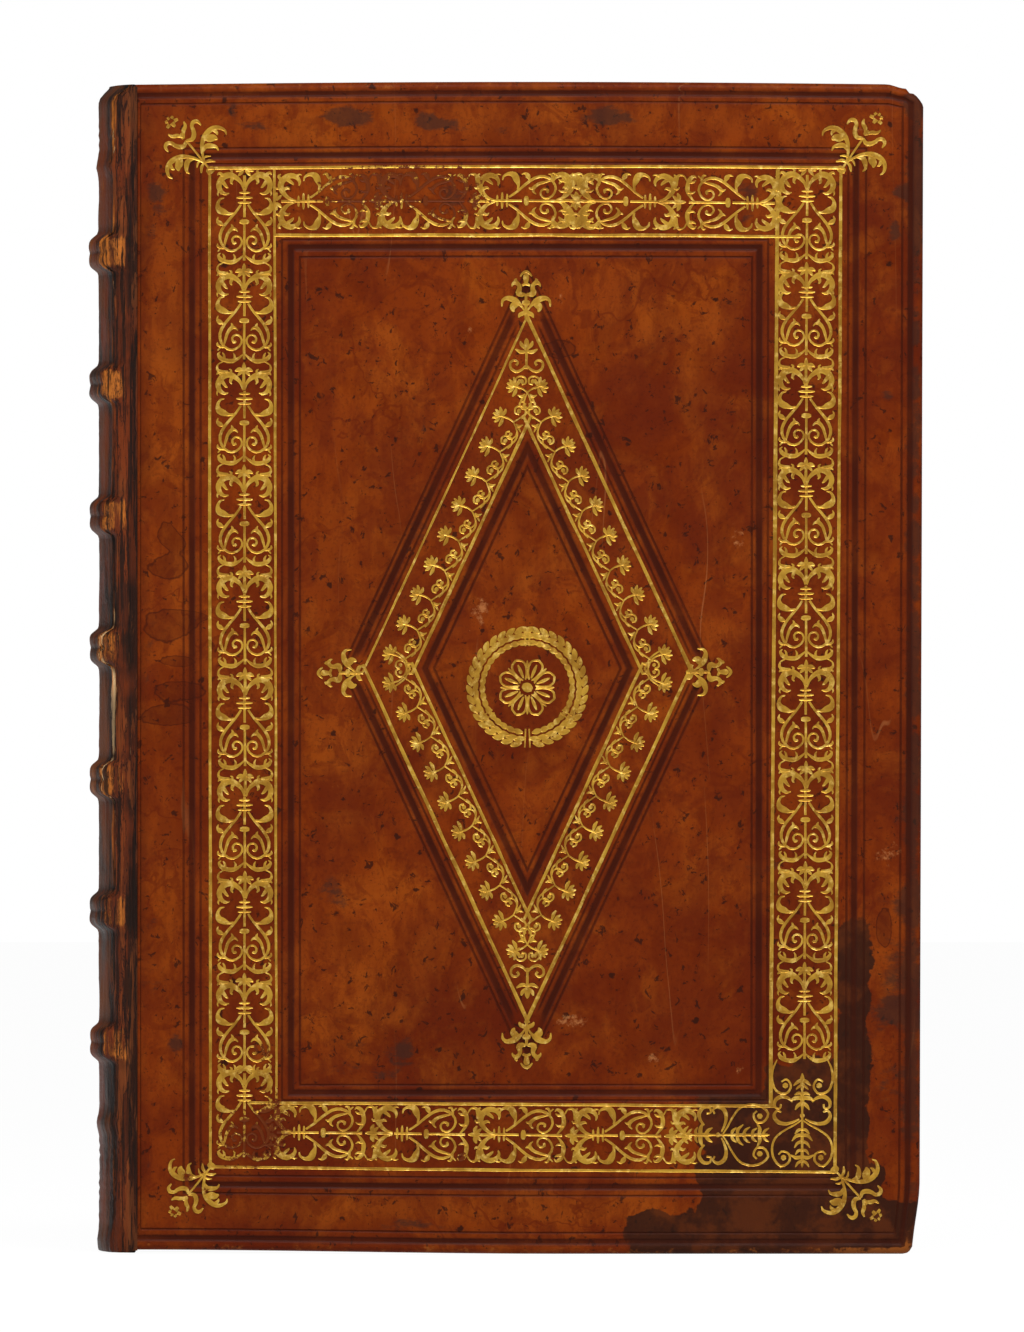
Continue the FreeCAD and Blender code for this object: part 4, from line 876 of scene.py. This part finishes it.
def rosetteStrokes(count=8):
    # a plain rosette: veined petals in outline, short leaves between them, and a button
    strokes, petal = [], [(1.2, 8, 1.6), (4.4, 13, 2.0), (6.8, 20, 2.2), (5.6, 26, 2.2), (0, 29.4, 2.4)]
    template = mirrored([petal]) + [[(0, 10, 1.6), (0, 18, 3.6), (0, 24.4, 1.4)]]
    leaf = [[(0, 9, 1.4), (0, 19, 4.2), (0, 27, 1)]]
    for k in range(count):
        for shapes, turn in ((template, 2 * math.pi * k / count), (leaf, 2 * math.pi * (k + 0.5) / count)):
            c, s = math.cos(turn), math.sin(turn)
            strokes += [[(a * c + b * s, b * c - a * s, w) for a, b, w in shape] for shape in shapes]
    strokes.append([(-5.4, 0, 4), (-2, 0, 9.4), (2, 0, 9.4), (5.4, 0, 4)])
    return strokes


def place(template, moves):
    # copies of a template: each move is (x, z, turn of its along axis from up, flip, size)
    points, faces = template
    moves = np.asarray(moves, float)
    turn = np.radians(moves[:, 2])[:, None]
    u = points[None, :, 0] * moves[:, 3:4] * moves[:, 4:5]
    v = points[None, :, 1] * moves[:, 4:5]
    x = moves[:, 0:1] + u * np.cos(turn) + v * np.sin(turn)
    z = moves[:, 1:2] - u * np.sin(turn) + v * np.cos(turn)
    h = np.repeat(points[None, :, 2], len(moves), 0)
    count = len(points)
    steps = (np.arange(len(moves)) * count)[:, None, None]
    out = []
    for f in faces:
        many = f[None] + steps
        flipped = moves[:, 3] < 0
        many[flipped] = many[flipped][:, :, ::-1]
        out.append(many.reshape(-1, f.shape[1]))
    return np.stack([x, z, h], -1).reshape(-1, 3), out


def join(parts):
    # several shapes as one: points in a row, faces by their number of corners
    points, faces, first = [], {}, 0
    for p, fs in parts:
        points.append(p)
        for f in fs:
            faces.setdefault(f.shape[1], []).append(f + first)
        first += len(p)
    return np.concatenate(points), [np.concatenate(f) for f in faces.values()]


# where hands and the repair took the gold
wornGold = gridSpots(
    (395, 185, 75, 26, 0.75), (450, 205, 34, 24, 0.6), (345, 200, 30, 16, 0.4), (250, 1140, 36, 40, 0.62),
    (275, 1120, 18, 40, 0.35), (640, 210, 18, 10, 0.2), (748, 205, 12, 14, 0.35), (805, 1052, 22, 18, 0.25),
    (440, 1150, 20, 14, 0.2), (640, 1060, 12, 12, 0.1), (225, 930, 14, 40, 0.16), (560, 740, 16, 10, 0.2),
    (555, 850, 20, 30, 0.12), (462, 1160, 6, 8, 0.7), (190, 140, 24, 14, 0.22), (263, 1050, 12, 14, 0.6),
    (187, 1179, 7, 13, 0.5), (204, 1193, 9, 6, 0.45))


def gild(name, parts, nodes):
    # lays the flat ornament on the cover's face: level plus cockle plus the ornament's own height
    points, faces = join(parts)
    x, z, h = points.T
    fade = np.clip(blobs(x, z, wornGold) + 0.06 + 0.06 * lumps(x, z, 14, 21), 0, 1)
    sx, sz = settle(x, z)
    spots = np.stack([x + sx, -(book["half"] - cover["sink"] + cockle(x, z) + h), z + sz], -1)
    makePiece(name, spots, faces, gold, "front_cover", nodes, {"worn": fade}, crease=70)


def rule(start, end, width, seed, steps=60, wave=0.12):
    # a gilt line: slightly wavy, as the fillet was run along a ruler by hand
    a, b = np.array(start, float), np.array(end, float)
    t = np.linspace(0, 1, steps)
    line = a + t[:, None] * (b - a)
    across = np.array([-(b - a)[1], (b - a)[0]]) / np.linalg.norm(b - a)
    line = line + across * (lumps(t * 300, t * 0 + seed, 30, seed) * wave)[:, None]
    wide = width * (1 + 0.14 * lumps(t * 300, t * 0, 17, seed + 3))
    n = len(troughPlan)
    return troughStrip(line, wide / 2), [gridFaces(steps, n), endCaps(steps, n)]


def onGrid(column, row):
    # a place on the drawing grid, in millimetres
    return (column - 505) * pixel, (1254 - row) * pixel


def rollMoves(stem, *marks):
    # the roll's cross bars stand at the marks, steps of the grid along the stem; each repeat runs on from
    # its bars towards the stem's end, turned a little as the roll swayed
    (x0, z0), (x1, z1) = onGrid(*stem[0]), onGrid(*stem[1])
    turn = math.degrees(math.atan2(x1 - x0, z1 - z0))
    long = math.hypot(x1 - x0, z1 - z0)
    return [(x0 + (x1 - x0) * m * pixel / long, z0 + (z1 - z0) * m * pixel / long,
             turn + 0.5 * math.sin(7.1 * k), 1, 0.985) for k, m in enumerate(marks)]


# the border's runs, and where the roll's bars stand on each; its ends show part of a repeat
stems = dict(left=((244.5, 98), (244.5, 1170)), right=((806.5, 98), (805, 1170)),
             top=((303.4, 201.5), (700, 201.5)), back=((860, 204), (500, 201.5)),
             bottom=((299, 1133), (700, 1136)))
roll = troughs(rollStrokes)
rollEnd = troughs([s for s in rollStrokes if min(p[1] for p in s) > 73.5])
rollStart = troughs([s for s in rollStrokes if max(p[1] for p in s) < 67])
spear, upper = troughs(spearStrokes), troughs(upperStrokes)
left = rollMoves(stems["left"], -1.5, 99.5, 198.5, 300.7, 401.5, 503.4, 605, 707, 809)
right = rollMoves(stems["right"], -2, 98, 194, 293.5, 393, 495.7, 597, 697.5, 798)
across = (rollMoves(stems["top"], 0, 98, 198.7) + rollMoves(stems["back"], 108, 210)
          + rollMoves(stems["bottom"], 0, 103, 200, 299))
startMoves = rollMoves(stems["right"], 898) + rollMoves(stems["left"], 910, 997.5)
endMoves = (left[:1] + right[:1] + rollMoves(stems["left"], 896.5) + rollMoves(stems["top"], -101)
            + rollMoves(stems["back"], 7) + rollMoves(stems["bottom"], -101))
spearMoves = [(*onGrid(723, 1135), 90, 1, 0.98), (*onGrid(803, 1120.5), 180, 1, 0.98)]
lines = [rule(onGrid(*a), onGrid(*b), width, seed=k + 2) for k, (a, b, width) in enumerate((
    ((209.5, 168), (210.5, 1170), 1.05), ((840, 168), (836, 1171), 1.15), ((208, 168), (842, 167.5), 1.05),
    ((209, 1168.5), (838, 1172), 1.05), ((274.5, 168), (276.5, 1104), 0.85), ((777, 168), (771, 1107), 1.3),
    ((274, 235.5), (800, 236.5), 1.15), ((250, 1103), (776, 1106), 1.1)))]
gild("gilt_border_sides", [place(roll, left[1:] + right[1:]), *lines[:2], *lines[4:6]], ())
gild("gilt_border_ends", [place(roll, across), place(spear, spearMoves), place(upper, spearMoves[1:]),
                          place(rollStart, startMoves), place(rollEnd, endMoves), *lines[2:4], *lines[6:]],
     ("front_gilt_border",))

vineRun = dict(start=24.5, step=11.75, count=10, end=6)
vineMoves, edgeLines = [], []
centre, tall, wide = np.array([book["middle"], book["mid"]]), lozenge["tall"], lozenge["wide"]
inner = 1 - lozenge["band"] / lozengeReach
for toFore, toHead in ((-1, 1), (1, 1), (-1, -1), (1, -1)):
    up, out = np.array([0, toHead * tall]), np.array([toFore * wide, 0])
    tip, flank = centre + up, centre + out
    length = np.linalg.norm(flank - tip)
    way = (flank - tip) / length
    # the vine runs along its first axis, and away from the outer line along its second
    inward = np.array([-toFore, -toHead]) * np.abs(way[::-1])
    turn = math.atan2(inward[0], inward[1])
    flip = 1 if np.array([math.cos(turn), -math.sin(turn)]) @ way > 0 else -1
    for reach in vineRun["start"] + vineRun["step"] * np.arange(vineRun["count"]):
        if reach < length - vineRun["end"]:
            vineMoves.append((*(tip + way * reach), math.degrees(turn), flip, 1.0))
    thick = 0.75 if (toFore, toHead) == (-1, 1) else 1.25
    edgeLines.append(rule(tip - way * 1.2, flank + way * 1.6, thick, seed=11 + toFore + 2 * toHead))
    edgeLines.append(rule(centre + up * inner - way * 3, centre + out * inner + way * 2.4, 1.1,
                          seed=17 + toFore + 2 * toHead))
palmetteMoves = [(centre[0] - 0.3, centre[1] + tall - 18.6, 0, 1, 0.95),
                 (centre[0], centre[1] - tall + 18.6, 180, 1, 0.95)]
gild("gilt_lozenge", [place(troughs(vineStrokes), vineMoves), place(troughs(palmetteStrokes), palmetteMoves),
                      *edgeLines], ("front_gilt_lozenge",))

fleuronMoves = [(*onGrid(526, 319), 0, 1, 1), (*onGrid(526.5, 1021), 180, 1, 1),
                (*onGrid(363, 673), -90, 1, 0.96), (*onGrid(686, 672), 90, 1, 0.96)]
cornerMoves = [(*onGrid(209.5, 168.5), -39, 1, 1), (*onGrid(841, 168), 34, 1, 1),
               (*onGrid(210.5, 1169), -142, 1, 0.96), (*onGrid(837, 1171), 137, 1, 1)]
gild("gilt_fleurons", [place(troughs(fleuronStrokes), fleuronMoves),
                       place(troughs(cornerStrokes), cornerMoves)], ("front_gilt_fleurons",))
medal = onGrid(527.3, 687.5)
gild("gilt_medallion", [place(troughs(wreathStrokes()), [(*medal, 0, 1, 1)]),
                        place(troughs(rosetteStrokes()), [(*medal, 22.5, 1, 1)])], ("front_gilt_medallion",))

spine = dict(tail=1.0, head=419.0, first=75.6, pitch=47.3, bands=7, leather=1.1,
             kettles=((390.5, 3.2), (46.5, 3.4)),
             flakes=((-0.67, 195, 0.09, 16, 1.0), (-0.72, 145, 0.03, 30, 0.5)))
# a band's section: distance from its middle, and height
bandPlan = ((0, 2.95), (0.5, 3.05), (1.4, 3.25), (2.6, 3.35), (3.8, 3.25), (4.8, 2.8), (5.6, 2.0), (6.3, 1.1),
            (7.0, 0.4), (8.0, 0.1), (9.5, 0.0))
# the caps' rows: how far in and how far up from the spine's end, rolling over the endband
capPlan = ((0.25, 0.35), (0.8, 0.55), (1.8, 0.5), (2.8, 0.2), (3.2, -0.4), (3.0, -1.6))


def bandLift(z):
    # height over the panels, and distance from the nearest band: two cords side by side with a thin
    # groove between at each station, and a low bell at the sewing's first and last stitches
    away = np.min([np.abs(z - spine["first"] - k * spine["pitch"]) for k in range(spine["bands"])], axis=0)
    kettle = sum(np.exp(-((z - middle) / width) ** 2) for middle, width in spine["kettles"])
    return np.interp(away, *zip(*bandPlan)) + kettle, away


def spineSection(lift, shrink, count=(16, 44)):
    # from joint line to joint line: a shoulder arc, the back arc and the other shoulder, for each lift.
    # Returns points (rows x columns x 2) and how far round each column is, from -1 to 1
    radius = book["backRadius"] + lift
    stand = book["reach"] + lift
    corner = (2 * radius * stand - stand ** 2 - book["half"] ** 2) / (2 * (radius - book["half"]))
    across = book["half"] - corner
    turn = np.arctan2(across, book["backCentre"] - book["joint"])
    big, small = radius - shrink, corner - shrink
    s = np.linspace(0, 1, count[0], endpoint=False)
    m = np.linspace(0, 1, count[1])
    first = math.pi / 2 + s[None] * (turn[:, None] - math.pi / 2)
    a = np.stack([book["joint"] - small[:, None] * np.cos(first),
                  -(across[:, None] + small[:, None] * np.sin(first))], -1)
    middle = (2 * m[None] - 1) * turn[:, None]
    b = np.stack([book["backCentre"] - big[:, None] * np.cos(middle), big[:, None] * np.sin(middle)], -1)
    c = a[:, ::-1] * np.array([1, -1])
    share = np.concatenate([-1 + 0.35 * s, -0.65 + 1.3 * m, 1 - 0.35 * s[::-1]])
    return np.concatenate([a, b, c], 1), share


def spineHeights():
    # rows close together over the bands, and evenly spaced between
    plan = [np.linspace(spine["tail"] + 0.4, spine["head"] - 0.4, 250)]
    for k in range(spine["bands"]):
        plan.append(spine["first"] + k * spine["pitch"] + np.linspace(-9, 9, 37))
    return np.unique(np.round(np.concatenate(plan), 2))


def spineFields(s, zz, apart, fromCrack, torn):
    # where the spine's leather is rubbed, red, flaked, dirty and darkened by painted shade, from how far
    # round and up it is, how far from a band and from the joint's crack, and how much the crack is torn:
    # bells and smooth steps
    away = np.abs(s)
    onBand = smooth(7.0, 4.0, apart)
    flap = smooth(0.0, 0.03, fromCrack) * smooth(0.97, 0.9, away)
    outer = smooth(0.45, 0.6, away)
    wear = (onBand * (0.2 + 0.22 * flap) + 0.06 * flap
            + 0.5 * torn * np.exp(-((fromCrack + 0.03) / 0.022) ** 2) + 0.13 * lumps(s * 60, zz, 18, 4))
    red = flap * (0.75 + 0.3 * lumps(zz, s * 40, 30, 17))
    crack = (torn * np.exp(-((fromCrack + 0.012) / 0.012) ** 2)
             * smooth(-0.3, 0.6, lumps(s * 40, zz * 0.5, 9, 12)) + 0.85 * blobs(s, zz, spine["flakes"]))
    # painted shade in the joint's crease at the section's ends and in the groove between the cords; then the
    # torn crack's dark line and dark patches on the flanks
    groove = (smooth(0.972, 0.995, away) + 0.4 * smooth(0.9, 0.2, apart) * smooth(0.7, 0.5, away)
              + 0.9 * torn * np.exp(-((fromCrack - 0.006) / 0.011) ** 2)
              + 0.6 * smooth(0.6, 0.2, flap) * smooth(6.0, 8.5, apart) * smooth(0.55, 0.68, away)
              * smooth(-0.2, 0.5, lumps(zz, s * 30, 21, 18)))
    # painted shade at the bands' feet; then darker towards the head and the tail
    groove = groove + 0.3 * np.exp(-((apart - 8.2) / 1.5) ** 2)
    groove = groove + 0.3 * smooth(12, 2, np.minimum(zz - spine["tail"], spine["head"] - zz))
    groove = groove + (0.6 * outer * smooth(0.03, -0.03, fromCrack + 0.05)
                       * (0.6 + 0.4 * lumps(s * 50, zz, 13, 19)) * (1 - 0.6 * onBand))
    return {key: np.clip(value, 0, 1) for key, value in
            (("wear", wear), ("crack", crack), ("red", red), ("groove", groove), ("flank", outer))}


def spineCap(base, share, end, sign):
    # the end row rolls over and turns down towards the endband, most at the middle of the back
    pull = np.array([book["backCentre"], 0.0]) - base[:, :2]
    pull = pull / np.linalg.norm(pull, axis=1, keepdims=True)
    strength = smooth(1.0, 0.62, np.abs(share))[:, None]
    return [np.concatenate([base[:, :2] + pull * (out * (0.35 + 0.65 * strength)),
                            np.full((len(base), 1), end) + sign * up], 1) for out, up in capPlan]


def makeSpine():
    # the back's leather: sections at each height, roughened along their normals, with a cap at either end
    # and an inner sheet, which over the bands stays level with the panels, where the cords lie
    z = spineHeights()
    lift, apart = bandLift(z)
    end = np.minimum(z - spine["tail"], spine["head"] - z)
    ribs = 0.16 * np.sin(z * 2.1) * (smooth(386, 392, z) * smooth(411, 405, z)
                                     + smooth(8, 14, z) * smooth(46, 40, z))
    lift = lift + ribs + 0.12 * lumps(z, z * 0, 31, 2) - 0.4 * smooth(5, 0, end) + 0.8 * smooth(10, 3, z)
    drawn = -4.2 * smooth(411.5, 420.5, z) ** 2
    plan, share = spineSection(lift + drawn, 0.0)
    rows, columns = plan.shape[:2]
    zz, s = np.meshgrid(z, share, indexing="ij")
    # dents, streaks along the spine and flaked places
    rough = (lumps(s * 90, zz, 26, 3) * 0.22 + lumps(s * 90, zz * 0.3, 3.2, 5) * 0.2
             + lumps(s * 90, zz * 0.7, 1.6, 6) * 0.1) * smooth(1.0, 0.9, np.abs(s))
    flank = smooth(0.5, 0.8, np.abs(s)) * smooth(1.0, 0.93, np.abs(s))
    rough = rough - 0.5 * flank * smooth(0.25, 0.7, lumps(s * 60, zz * 0.12, 3.0, 8))
    # the joint's crack wanders along the shoulder; its torn lip stands up on the spine's side
    crackLine = 0.70 + 0.022 * lumps(zz, np.sign(s) * 50, 46, 14) + 0.012 * lumps(zz, np.sign(s) * 20, 9, 15)
    fromCrack = np.abs(s) - crackLine
    torn = smooth(-0.55, 0.1, lumps(zz, np.sign(s) * 9, 24, 16))
    rough = (rough - 0.75 * torn * np.exp(-(fromCrack / 0.012) ** 2)
             + 0.35 * torn * np.exp(-((fromCrack + 0.035) / 0.02) ** 2))
    step = np.gradient(plan, axis=1)
    normal = np.stack([step[..., 1], -step[..., 0]], -1)
    normal /= np.maximum(np.linalg.norm(normal, axis=-1, keepdims=True), 1e-9)
    plan = plan + normal * np.sign((normal[..., 0:1] * -1).sum()) * rough[..., None]
    grid = np.concatenate([plan, zz[..., None]], -1)
    tailCap, headCap = (spineCap(grid[row], share, spine[where], sign)
                        for row, where, sign in ((0, "tail", -1), (-1, "head", 1)))
    inner, _ = spineSection(drawn, spine["leather"])
    inner = np.concatenate([inner, np.clip(zz, 2.6, 417.4)[..., None]], -1)
    allRows = np.stack(tailCap[::-1] + list(grid) + headCap)
    total, head = len(allRows), len(capPlan)
    first = total * columns
    # rims at the tail and the head, then the side edges, then the caps' side edges, which close onto the
    # first and last inner rows
    faces = [gridFaces(total, columns, wrap=False),
             gridFaces(rows, columns, wrap=False, first=first)[:, ::-1]]
    c = np.arange(columns - 1)
    top, lastIn = (total - 1) * columns, first + (rows - 1) * columns
    faces.append(np.stack([c + 1, c, first + c, first + c + 1], -1))
    faces.append(np.stack([top + c, top + c + 1, lastIn + c + 1, lastIn + c], -1))
    r = np.arange(rows - 1)
    sides, corners = [], []
    for column, turn in ((0, 1), (columns - 1, -1)):
        o, i = (r + head) * columns + column, first + r * columns + column
        sides.append(np.stack([o, o + columns, i + columns, i], -1)[:, ::turn])
        for rowsHere, corner in ((np.arange(head), first), (np.arange(total - head - 1, total - 1), lastIn)):
            o = rowsHere * columns + column
            corners.append(np.stack([o, o + columns, np.full(len(o), corner + column)], -1)[:, ::turn])
    fields = {}
    for key, value in spineFields(s, zz, np.repeat(apart[:, None], columns, 1), fromCrack, torn).items():
        outside = np.concatenate([np.repeat(value[:1], head, 0), value, np.repeat(value[-1:], head, 0)])
        fields[key] = np.concatenate([outside.ravel(), value.ravel()])
    points = np.concatenate([allRows.reshape(-1, 3), inner.reshape(-1, 3)])
    makePiece("spine_cover", points, faces + sides + corners, spineCalf, "block",
              ("spine_leather",), fields, crease=70)


makeSpine()


def closedSheet(name, outer, inner, material, slot, cover, start, end):
    # two grids of the same size as the faces of a thin sheet, its edges closed
    rows, columns = outer.shape[:2]
    count = rows * columns
    index = np.arange(count).reshape(rows, columns)
    border = np.concatenate([index[0, :-1], index[:-1, -1], index[-1, :0:-1], index[:0:-1, 0]])
    follow = np.roll(border, -1)
    faces = [gridFaces(rows, columns, wrap=False), gridFaces(rows, columns, wrap=False, first=count)[:, ::-1],
             np.stack([follow, border, border + count, follow + count], -1)]
    points = np.concatenate([outer.reshape(-1, 3), inner.reshape(-1, 3)])
    # the groove share darkens the joint's leather half way towards near black: painted shade of the joint's
    # crease
    fields = {key: np.full(2 * count, value) for key, value in
              (("groove", 0.5), ("wear", 0.0), ("crack", 0.2), ("red", 0.3), ("flank", 1.0))}
    piece = makePiece(name, points, faces, material, None, (), fields)
    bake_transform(piece)


# across the joint: place and height of the leather; then the paper hinge's levels and thickness
joint = dict(x=(-134.5, -134.0, -133.6, -133.4, -133.25, -133.1, -132.8, -132.4, -131.9),
             lift=(-0.15, 0.12, 0.16, 0.1, 0.05, 0.1, 0.22, 0.2, 0.0), deep=0.35, bend=(-133.6, -132.9))
hinge = dict(levels=(26.03, 26.27), x=(-133.05, -132.75), bend=(26.04, 26.26), middle=-133.0)


def jointStrip(name, side, cover):
    # the leather at the joint: it lies across the joint line
    zz, xx = np.meshgrid(np.linspace(1.2, 418.8, 160), joint["x"], indexing="ij")
    top = book["half"] + np.array(joint["lift"])[None] + 0.05 * lumps(xx * 9, zz, 5, 3)
    low = book["half"] - joint["deep"] + 0 * top
    outer, inner = (np.stack([xx, side * level, zz], -1) for level in (top, low))
    closedSheet(name, outer, inner, spineCalf, "leather", cover,
                *((x * mm, side * book["half"] * mm, book["mid"] * mm) for x in joint["bend"]))


def hingeStrip(name, side, cover):
    # the paper hinge inside: folded shut at rest between block and pastedown
    zz, level = np.meshgrid(np.linspace(6.5, 413.5, 60), np.linspace(*hinge["levels"], 25), indexing="ij")
    outer, inner = (np.stack([np.full(zz.shape, x), side * level, zz], -1) for x in hinge["x"])
    closedSheet(name, outer, inner, pastePaper, "paper", cover,
                *((hinge["middle"] * mm, side * y * mm, book["mid"] * mm) for y in hinge["bend"]))


for side, body in ((-1, "front_cover"), (1, "back_cover")):
    jointStrip(body + "_joint", side, body)
    hingeStrip(body + "_hinge_paper", side, body)

leaves = dict(tail=6.0, head=414.0, fore=143.9, hollow=9.0, skin=1.62, gathering=3.6, shoulder=31.1, rows=170,
              flyRows=9, steps=22, foreJitter=0.16, endJitter=0.07)


def makeBlock():
    # the leaves as one solid: an upright outline of a leaf carried through the thickness, each a little
    # larger or smaller than the next, with a step at the endleaves where the shoulders stand out. The back
    # follows the spine's arcs, and the fore edge is hollowed by a parabola
    half, fly = book["block"], leaves["flyRows"]
    shoulder = np.linspace(half, leaves["shoulder"], fly)
    y = np.concatenate([-shoulder[::-1], np.linspace(-half, half, leaves["rows"]), shoulder])
    inBlock = np.concatenate([np.zeros(fly), np.ones(leaves["rows"]), np.zeros(fly)])
    big, small = book["backRadius"] - leaves["skin"], 8.0 - leaves["skin"]
    back = book["backCentre"] - np.sqrt(np.maximum(big ** 2 - y ** 2, 0))
    flank = book["joint"] - np.sqrt(np.maximum(small ** 2 - (np.abs(y) - 24.8) ** 2, 0))
    back = np.where(np.abs(y) < book["board"], back, flank)
    fore = np.where(inBlock > 0, leaves["fore"] - leaves["hollow"] * (1 - (y / half) ** 2), book["joint"])
    rng = np.random.default_rng(7)
    gathered = np.abs(np.sin(y / leaves["gathering"] * math.pi))
    dFore = rng.normal(0, leaves["foreJitter"], len(y)) * inBlock - 0.18 * gathered * inBlock
    dHead = rng.normal(0, leaves["endJitter"], len(y)) * inBlock - 0.12 * gathered * inBlock
    dTail = rng.normal(0, leaves["endJitter"], len(y)) * inBlock
    low, high, x0, x1 = leaves["tail"] + dTail, leaves["head"] + dHead, back, fore + dFore
    t = np.linspace(0, 1, leaves["steps"], endpoint=False)
    sides = ((x0, low, x1, low), (x1, low, x1, high), (x1, high, x0, high), (x0, high, x0, low))
    sides = [[start[:, None] + t * (end - start)[:, None] for start, end in ((a, c), (b, d))]
             for a, b, c, d in sides]
    ring = np.concatenate([np.stack(side, -1) for side in sides], 1)
    rows, columns = ring.shape[:2]
    yy = np.repeat(y[:, None], columns, 1)
    yy = yy + 0.1 * lumps(ring[..., 0], ring[..., 1] + yy * 3, 40, 3) * (np.abs(yy) < half - 1)
    caps = endCaps(rows, columns)
    flyleaf = np.repeat((np.abs(y) > half - 0.05).astype(float)[:, None], columns, 1)
    makePiece("page_block", np.stack([ring[..., 0], yy, ring[..., 1]], -1), [gridFaces(rows, columns), caps],
              leafEdge, "block", ("text_block",), {"flyleaf": flyleaf}, crease=25)


makeBlock()
endband = dict(wraps=46, per=8, inset=4.0, core=(1.4, 1.35), ridge=0.16, sides=18)


def threadTube(name, level, node):
    # an endband: thread wound round a core that follows the back of the block, rounded oblong in section
    turn = math.atan2(24.8, 61.667)
    wraps, per = endband["wraps"], endband["per"]
    t = np.linspace(-1, 1, wraps * per + 1)
    angle = t * turn
    ridge = endband["ridge"] * np.abs(np.sin(np.linspace(0, wraps * math.pi, len(t))))[:, None]
    around = np.linspace(0, 2 * math.pi, endband["sides"], endpoint=False)
    reach = 1 / (np.abs(np.cos(around)) ** 3 + np.abs(np.sin(around)) ** 3) ** (1 / 3)
    r = book["backRadius"] - endband["inset"] + (endband["core"][0] + ridge) * np.cos(around) * reach
    z = level + (endband["core"][1] + ridge) * np.sin(around) * reach
    points = np.stack([book["backCentre"] - r * np.cos(angle)[:, None], r * np.sin(angle)[:, None], z], -1)
    rows, columns = z.shape
    stripe = np.repeat(((np.arange(rows) // per) % 4 < 2).astype(float)[:, None], columns, 1)
    makePiece(name, points, [gridFaces(rows, columns), endCaps(rows, columns)], silk, "block",
              (node,), {"stripe": stripe}, crease=60)


threadTube("head_endband_thread", 415.55, "head_endband")
threadTube("tail_endband_thread", 4.45, "tail_endband")

dressed = dict(sewing_cords=hemp, front_cord_slips=hemp, back_cord_slips=hemp, spine_linings=skin,
               front_pastedown=pastePaper, back_pastedown=pastePaper)
for name, material in dressed.items():
    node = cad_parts[name]
    node.data.materials.clear()
    node.data.materials.append(material)
print("book dressed")

studio = dict(distance=8.0, frameTall=0.4778, aimX=0.0025, aimZ=0.2109, sky=0.18, key=62.0, fill=13.0,
              sensor=36, floor=(0.82, 0.82, 0.82, 1), white=(1, 1, 1, 1), glow=1.03, shown=0.94)


def stagePlane(name, corners, material):
    # a flat ground that is no part of the object
    mesh = bpy.data.meshes.new(name)
    mesh.from_pydata(corners, [], [(0, 1, 2, 3)])
    plane = bpy.data.objects.new(name, mesh)
    bpy.context.scene.collection.objects.link(plane)
    mesh.materials.append(material)


def paleFloor():
    # near white to the camera, with the object's shadow kept faintly
    f = Finish("pale_floor")
    f.put(f.shader.inputs["Base Color"], studio["floor"])
    f.put(f.shader.inputs["Roughness"], 0.9)
    glow = f.add("ShaderNodeEmission", {"Color": studio["white"], "Strength": studio["glow"]})
    path = f.add("ShaderNodeLightPath")
    seen = f.sums("MAXIMUM", f.sums("MAXIMUM", path.outputs["Is Camera Ray"], path.outputs["Is Glossy Ray"]),
                  path.outputs["Is Transmission Ray"])
    mixer = f.add("ShaderNodeMixShader", {0: f.times(seen, studio["shown"]), 1: f.shader.outputs[0],
                                          2: glow.outputs[0]})
    out = next(n for n in f.tree.nodes if n.type == "OUTPUT_MATERIAL")
    f.put(out.inputs["Surface"], mixer.outputs[0])
    return f.material


stagePlane("floor", [(-9, -12, 0), (9, -12, 0), (9, 9, 0), (-9, 9, 0)], paleFloor())
world = bpy.data.worlds.new("studio")
bpy.context.scene.world = world
world.use_nodes = True
tree = world.node_tree
background = tree.nodes["Background"]
path = tree.nodes.new("ShaderNodeLightPath")
white = tree.nodes.new("ShaderNodeBackground")
for node in (white, background):
    node.inputs["Color"].default_value = studio["white"]
background.inputs["Strength"].default_value = studio["sky"]
mixer = tree.nodes.new("ShaderNodeMixShader")
tree.links.new(path.outputs["Is Camera Ray"], mixer.inputs[0])
tree.links.new(background.outputs[0], mixer.inputs[1])
tree.links.new(white.outputs[0], mixer.inputs[2])
tree.links.new(mixer.outputs[0], tree.nodes["World Output"].inputs["Surface"])


def areaLamp(name, place, power, size, aim=(0, 0, 0.2)):
    # an oblong lamp turned towards the book's middle
    data = bpy.data.lights.new(name, "AREA")
    data.energy, data.shape, data.size, data.size_y = power, "RECTANGLE", size[0], size[1]
    lamp = bpy.data.objects.new(name, data)
    bpy.context.scene.collection.objects.link(lamp)
    lamp.location = place
    lamp.rotation_mode = "QUATERNION"
    lamp.rotation_quaternion = Vector(np.array(aim) - np.array(place)).to_track_quat("-Z", "Y")


areaLamp("key", (0.3, -1.6, 2.0), studio["key"], (1.6, 0.9))
areaLamp("left", (-2.0, -1.2, 0.7), studio["fill"], (0.7, 1.4))
areaLamp("right", (2.0, -1.4, 0.8), studio["fill"] * 0.7, (0.8, 1.4))

cameraData = bpy.data.cameras.new("camera")
cameraData.sensor_width = studio["sensor"]
cameraData.lens = studio["sensor"] * studio["distance"] / studio["frameTall"]
cameraData.clip_end = 60
camera = bpy.data.objects.new("camera", cameraData)
bpy.context.scene.collection.objects.link(camera)
camera.location = (studio["aimX"], -book["half"] * mm - studio["distance"], studio["aimZ"])
camera.rotation_euler = (math.pi / 2, 0, 0)
bpy.context.scene.camera = camera
bpy.context.scene.view_settings.view_transform = "Standard"
print("studio set")
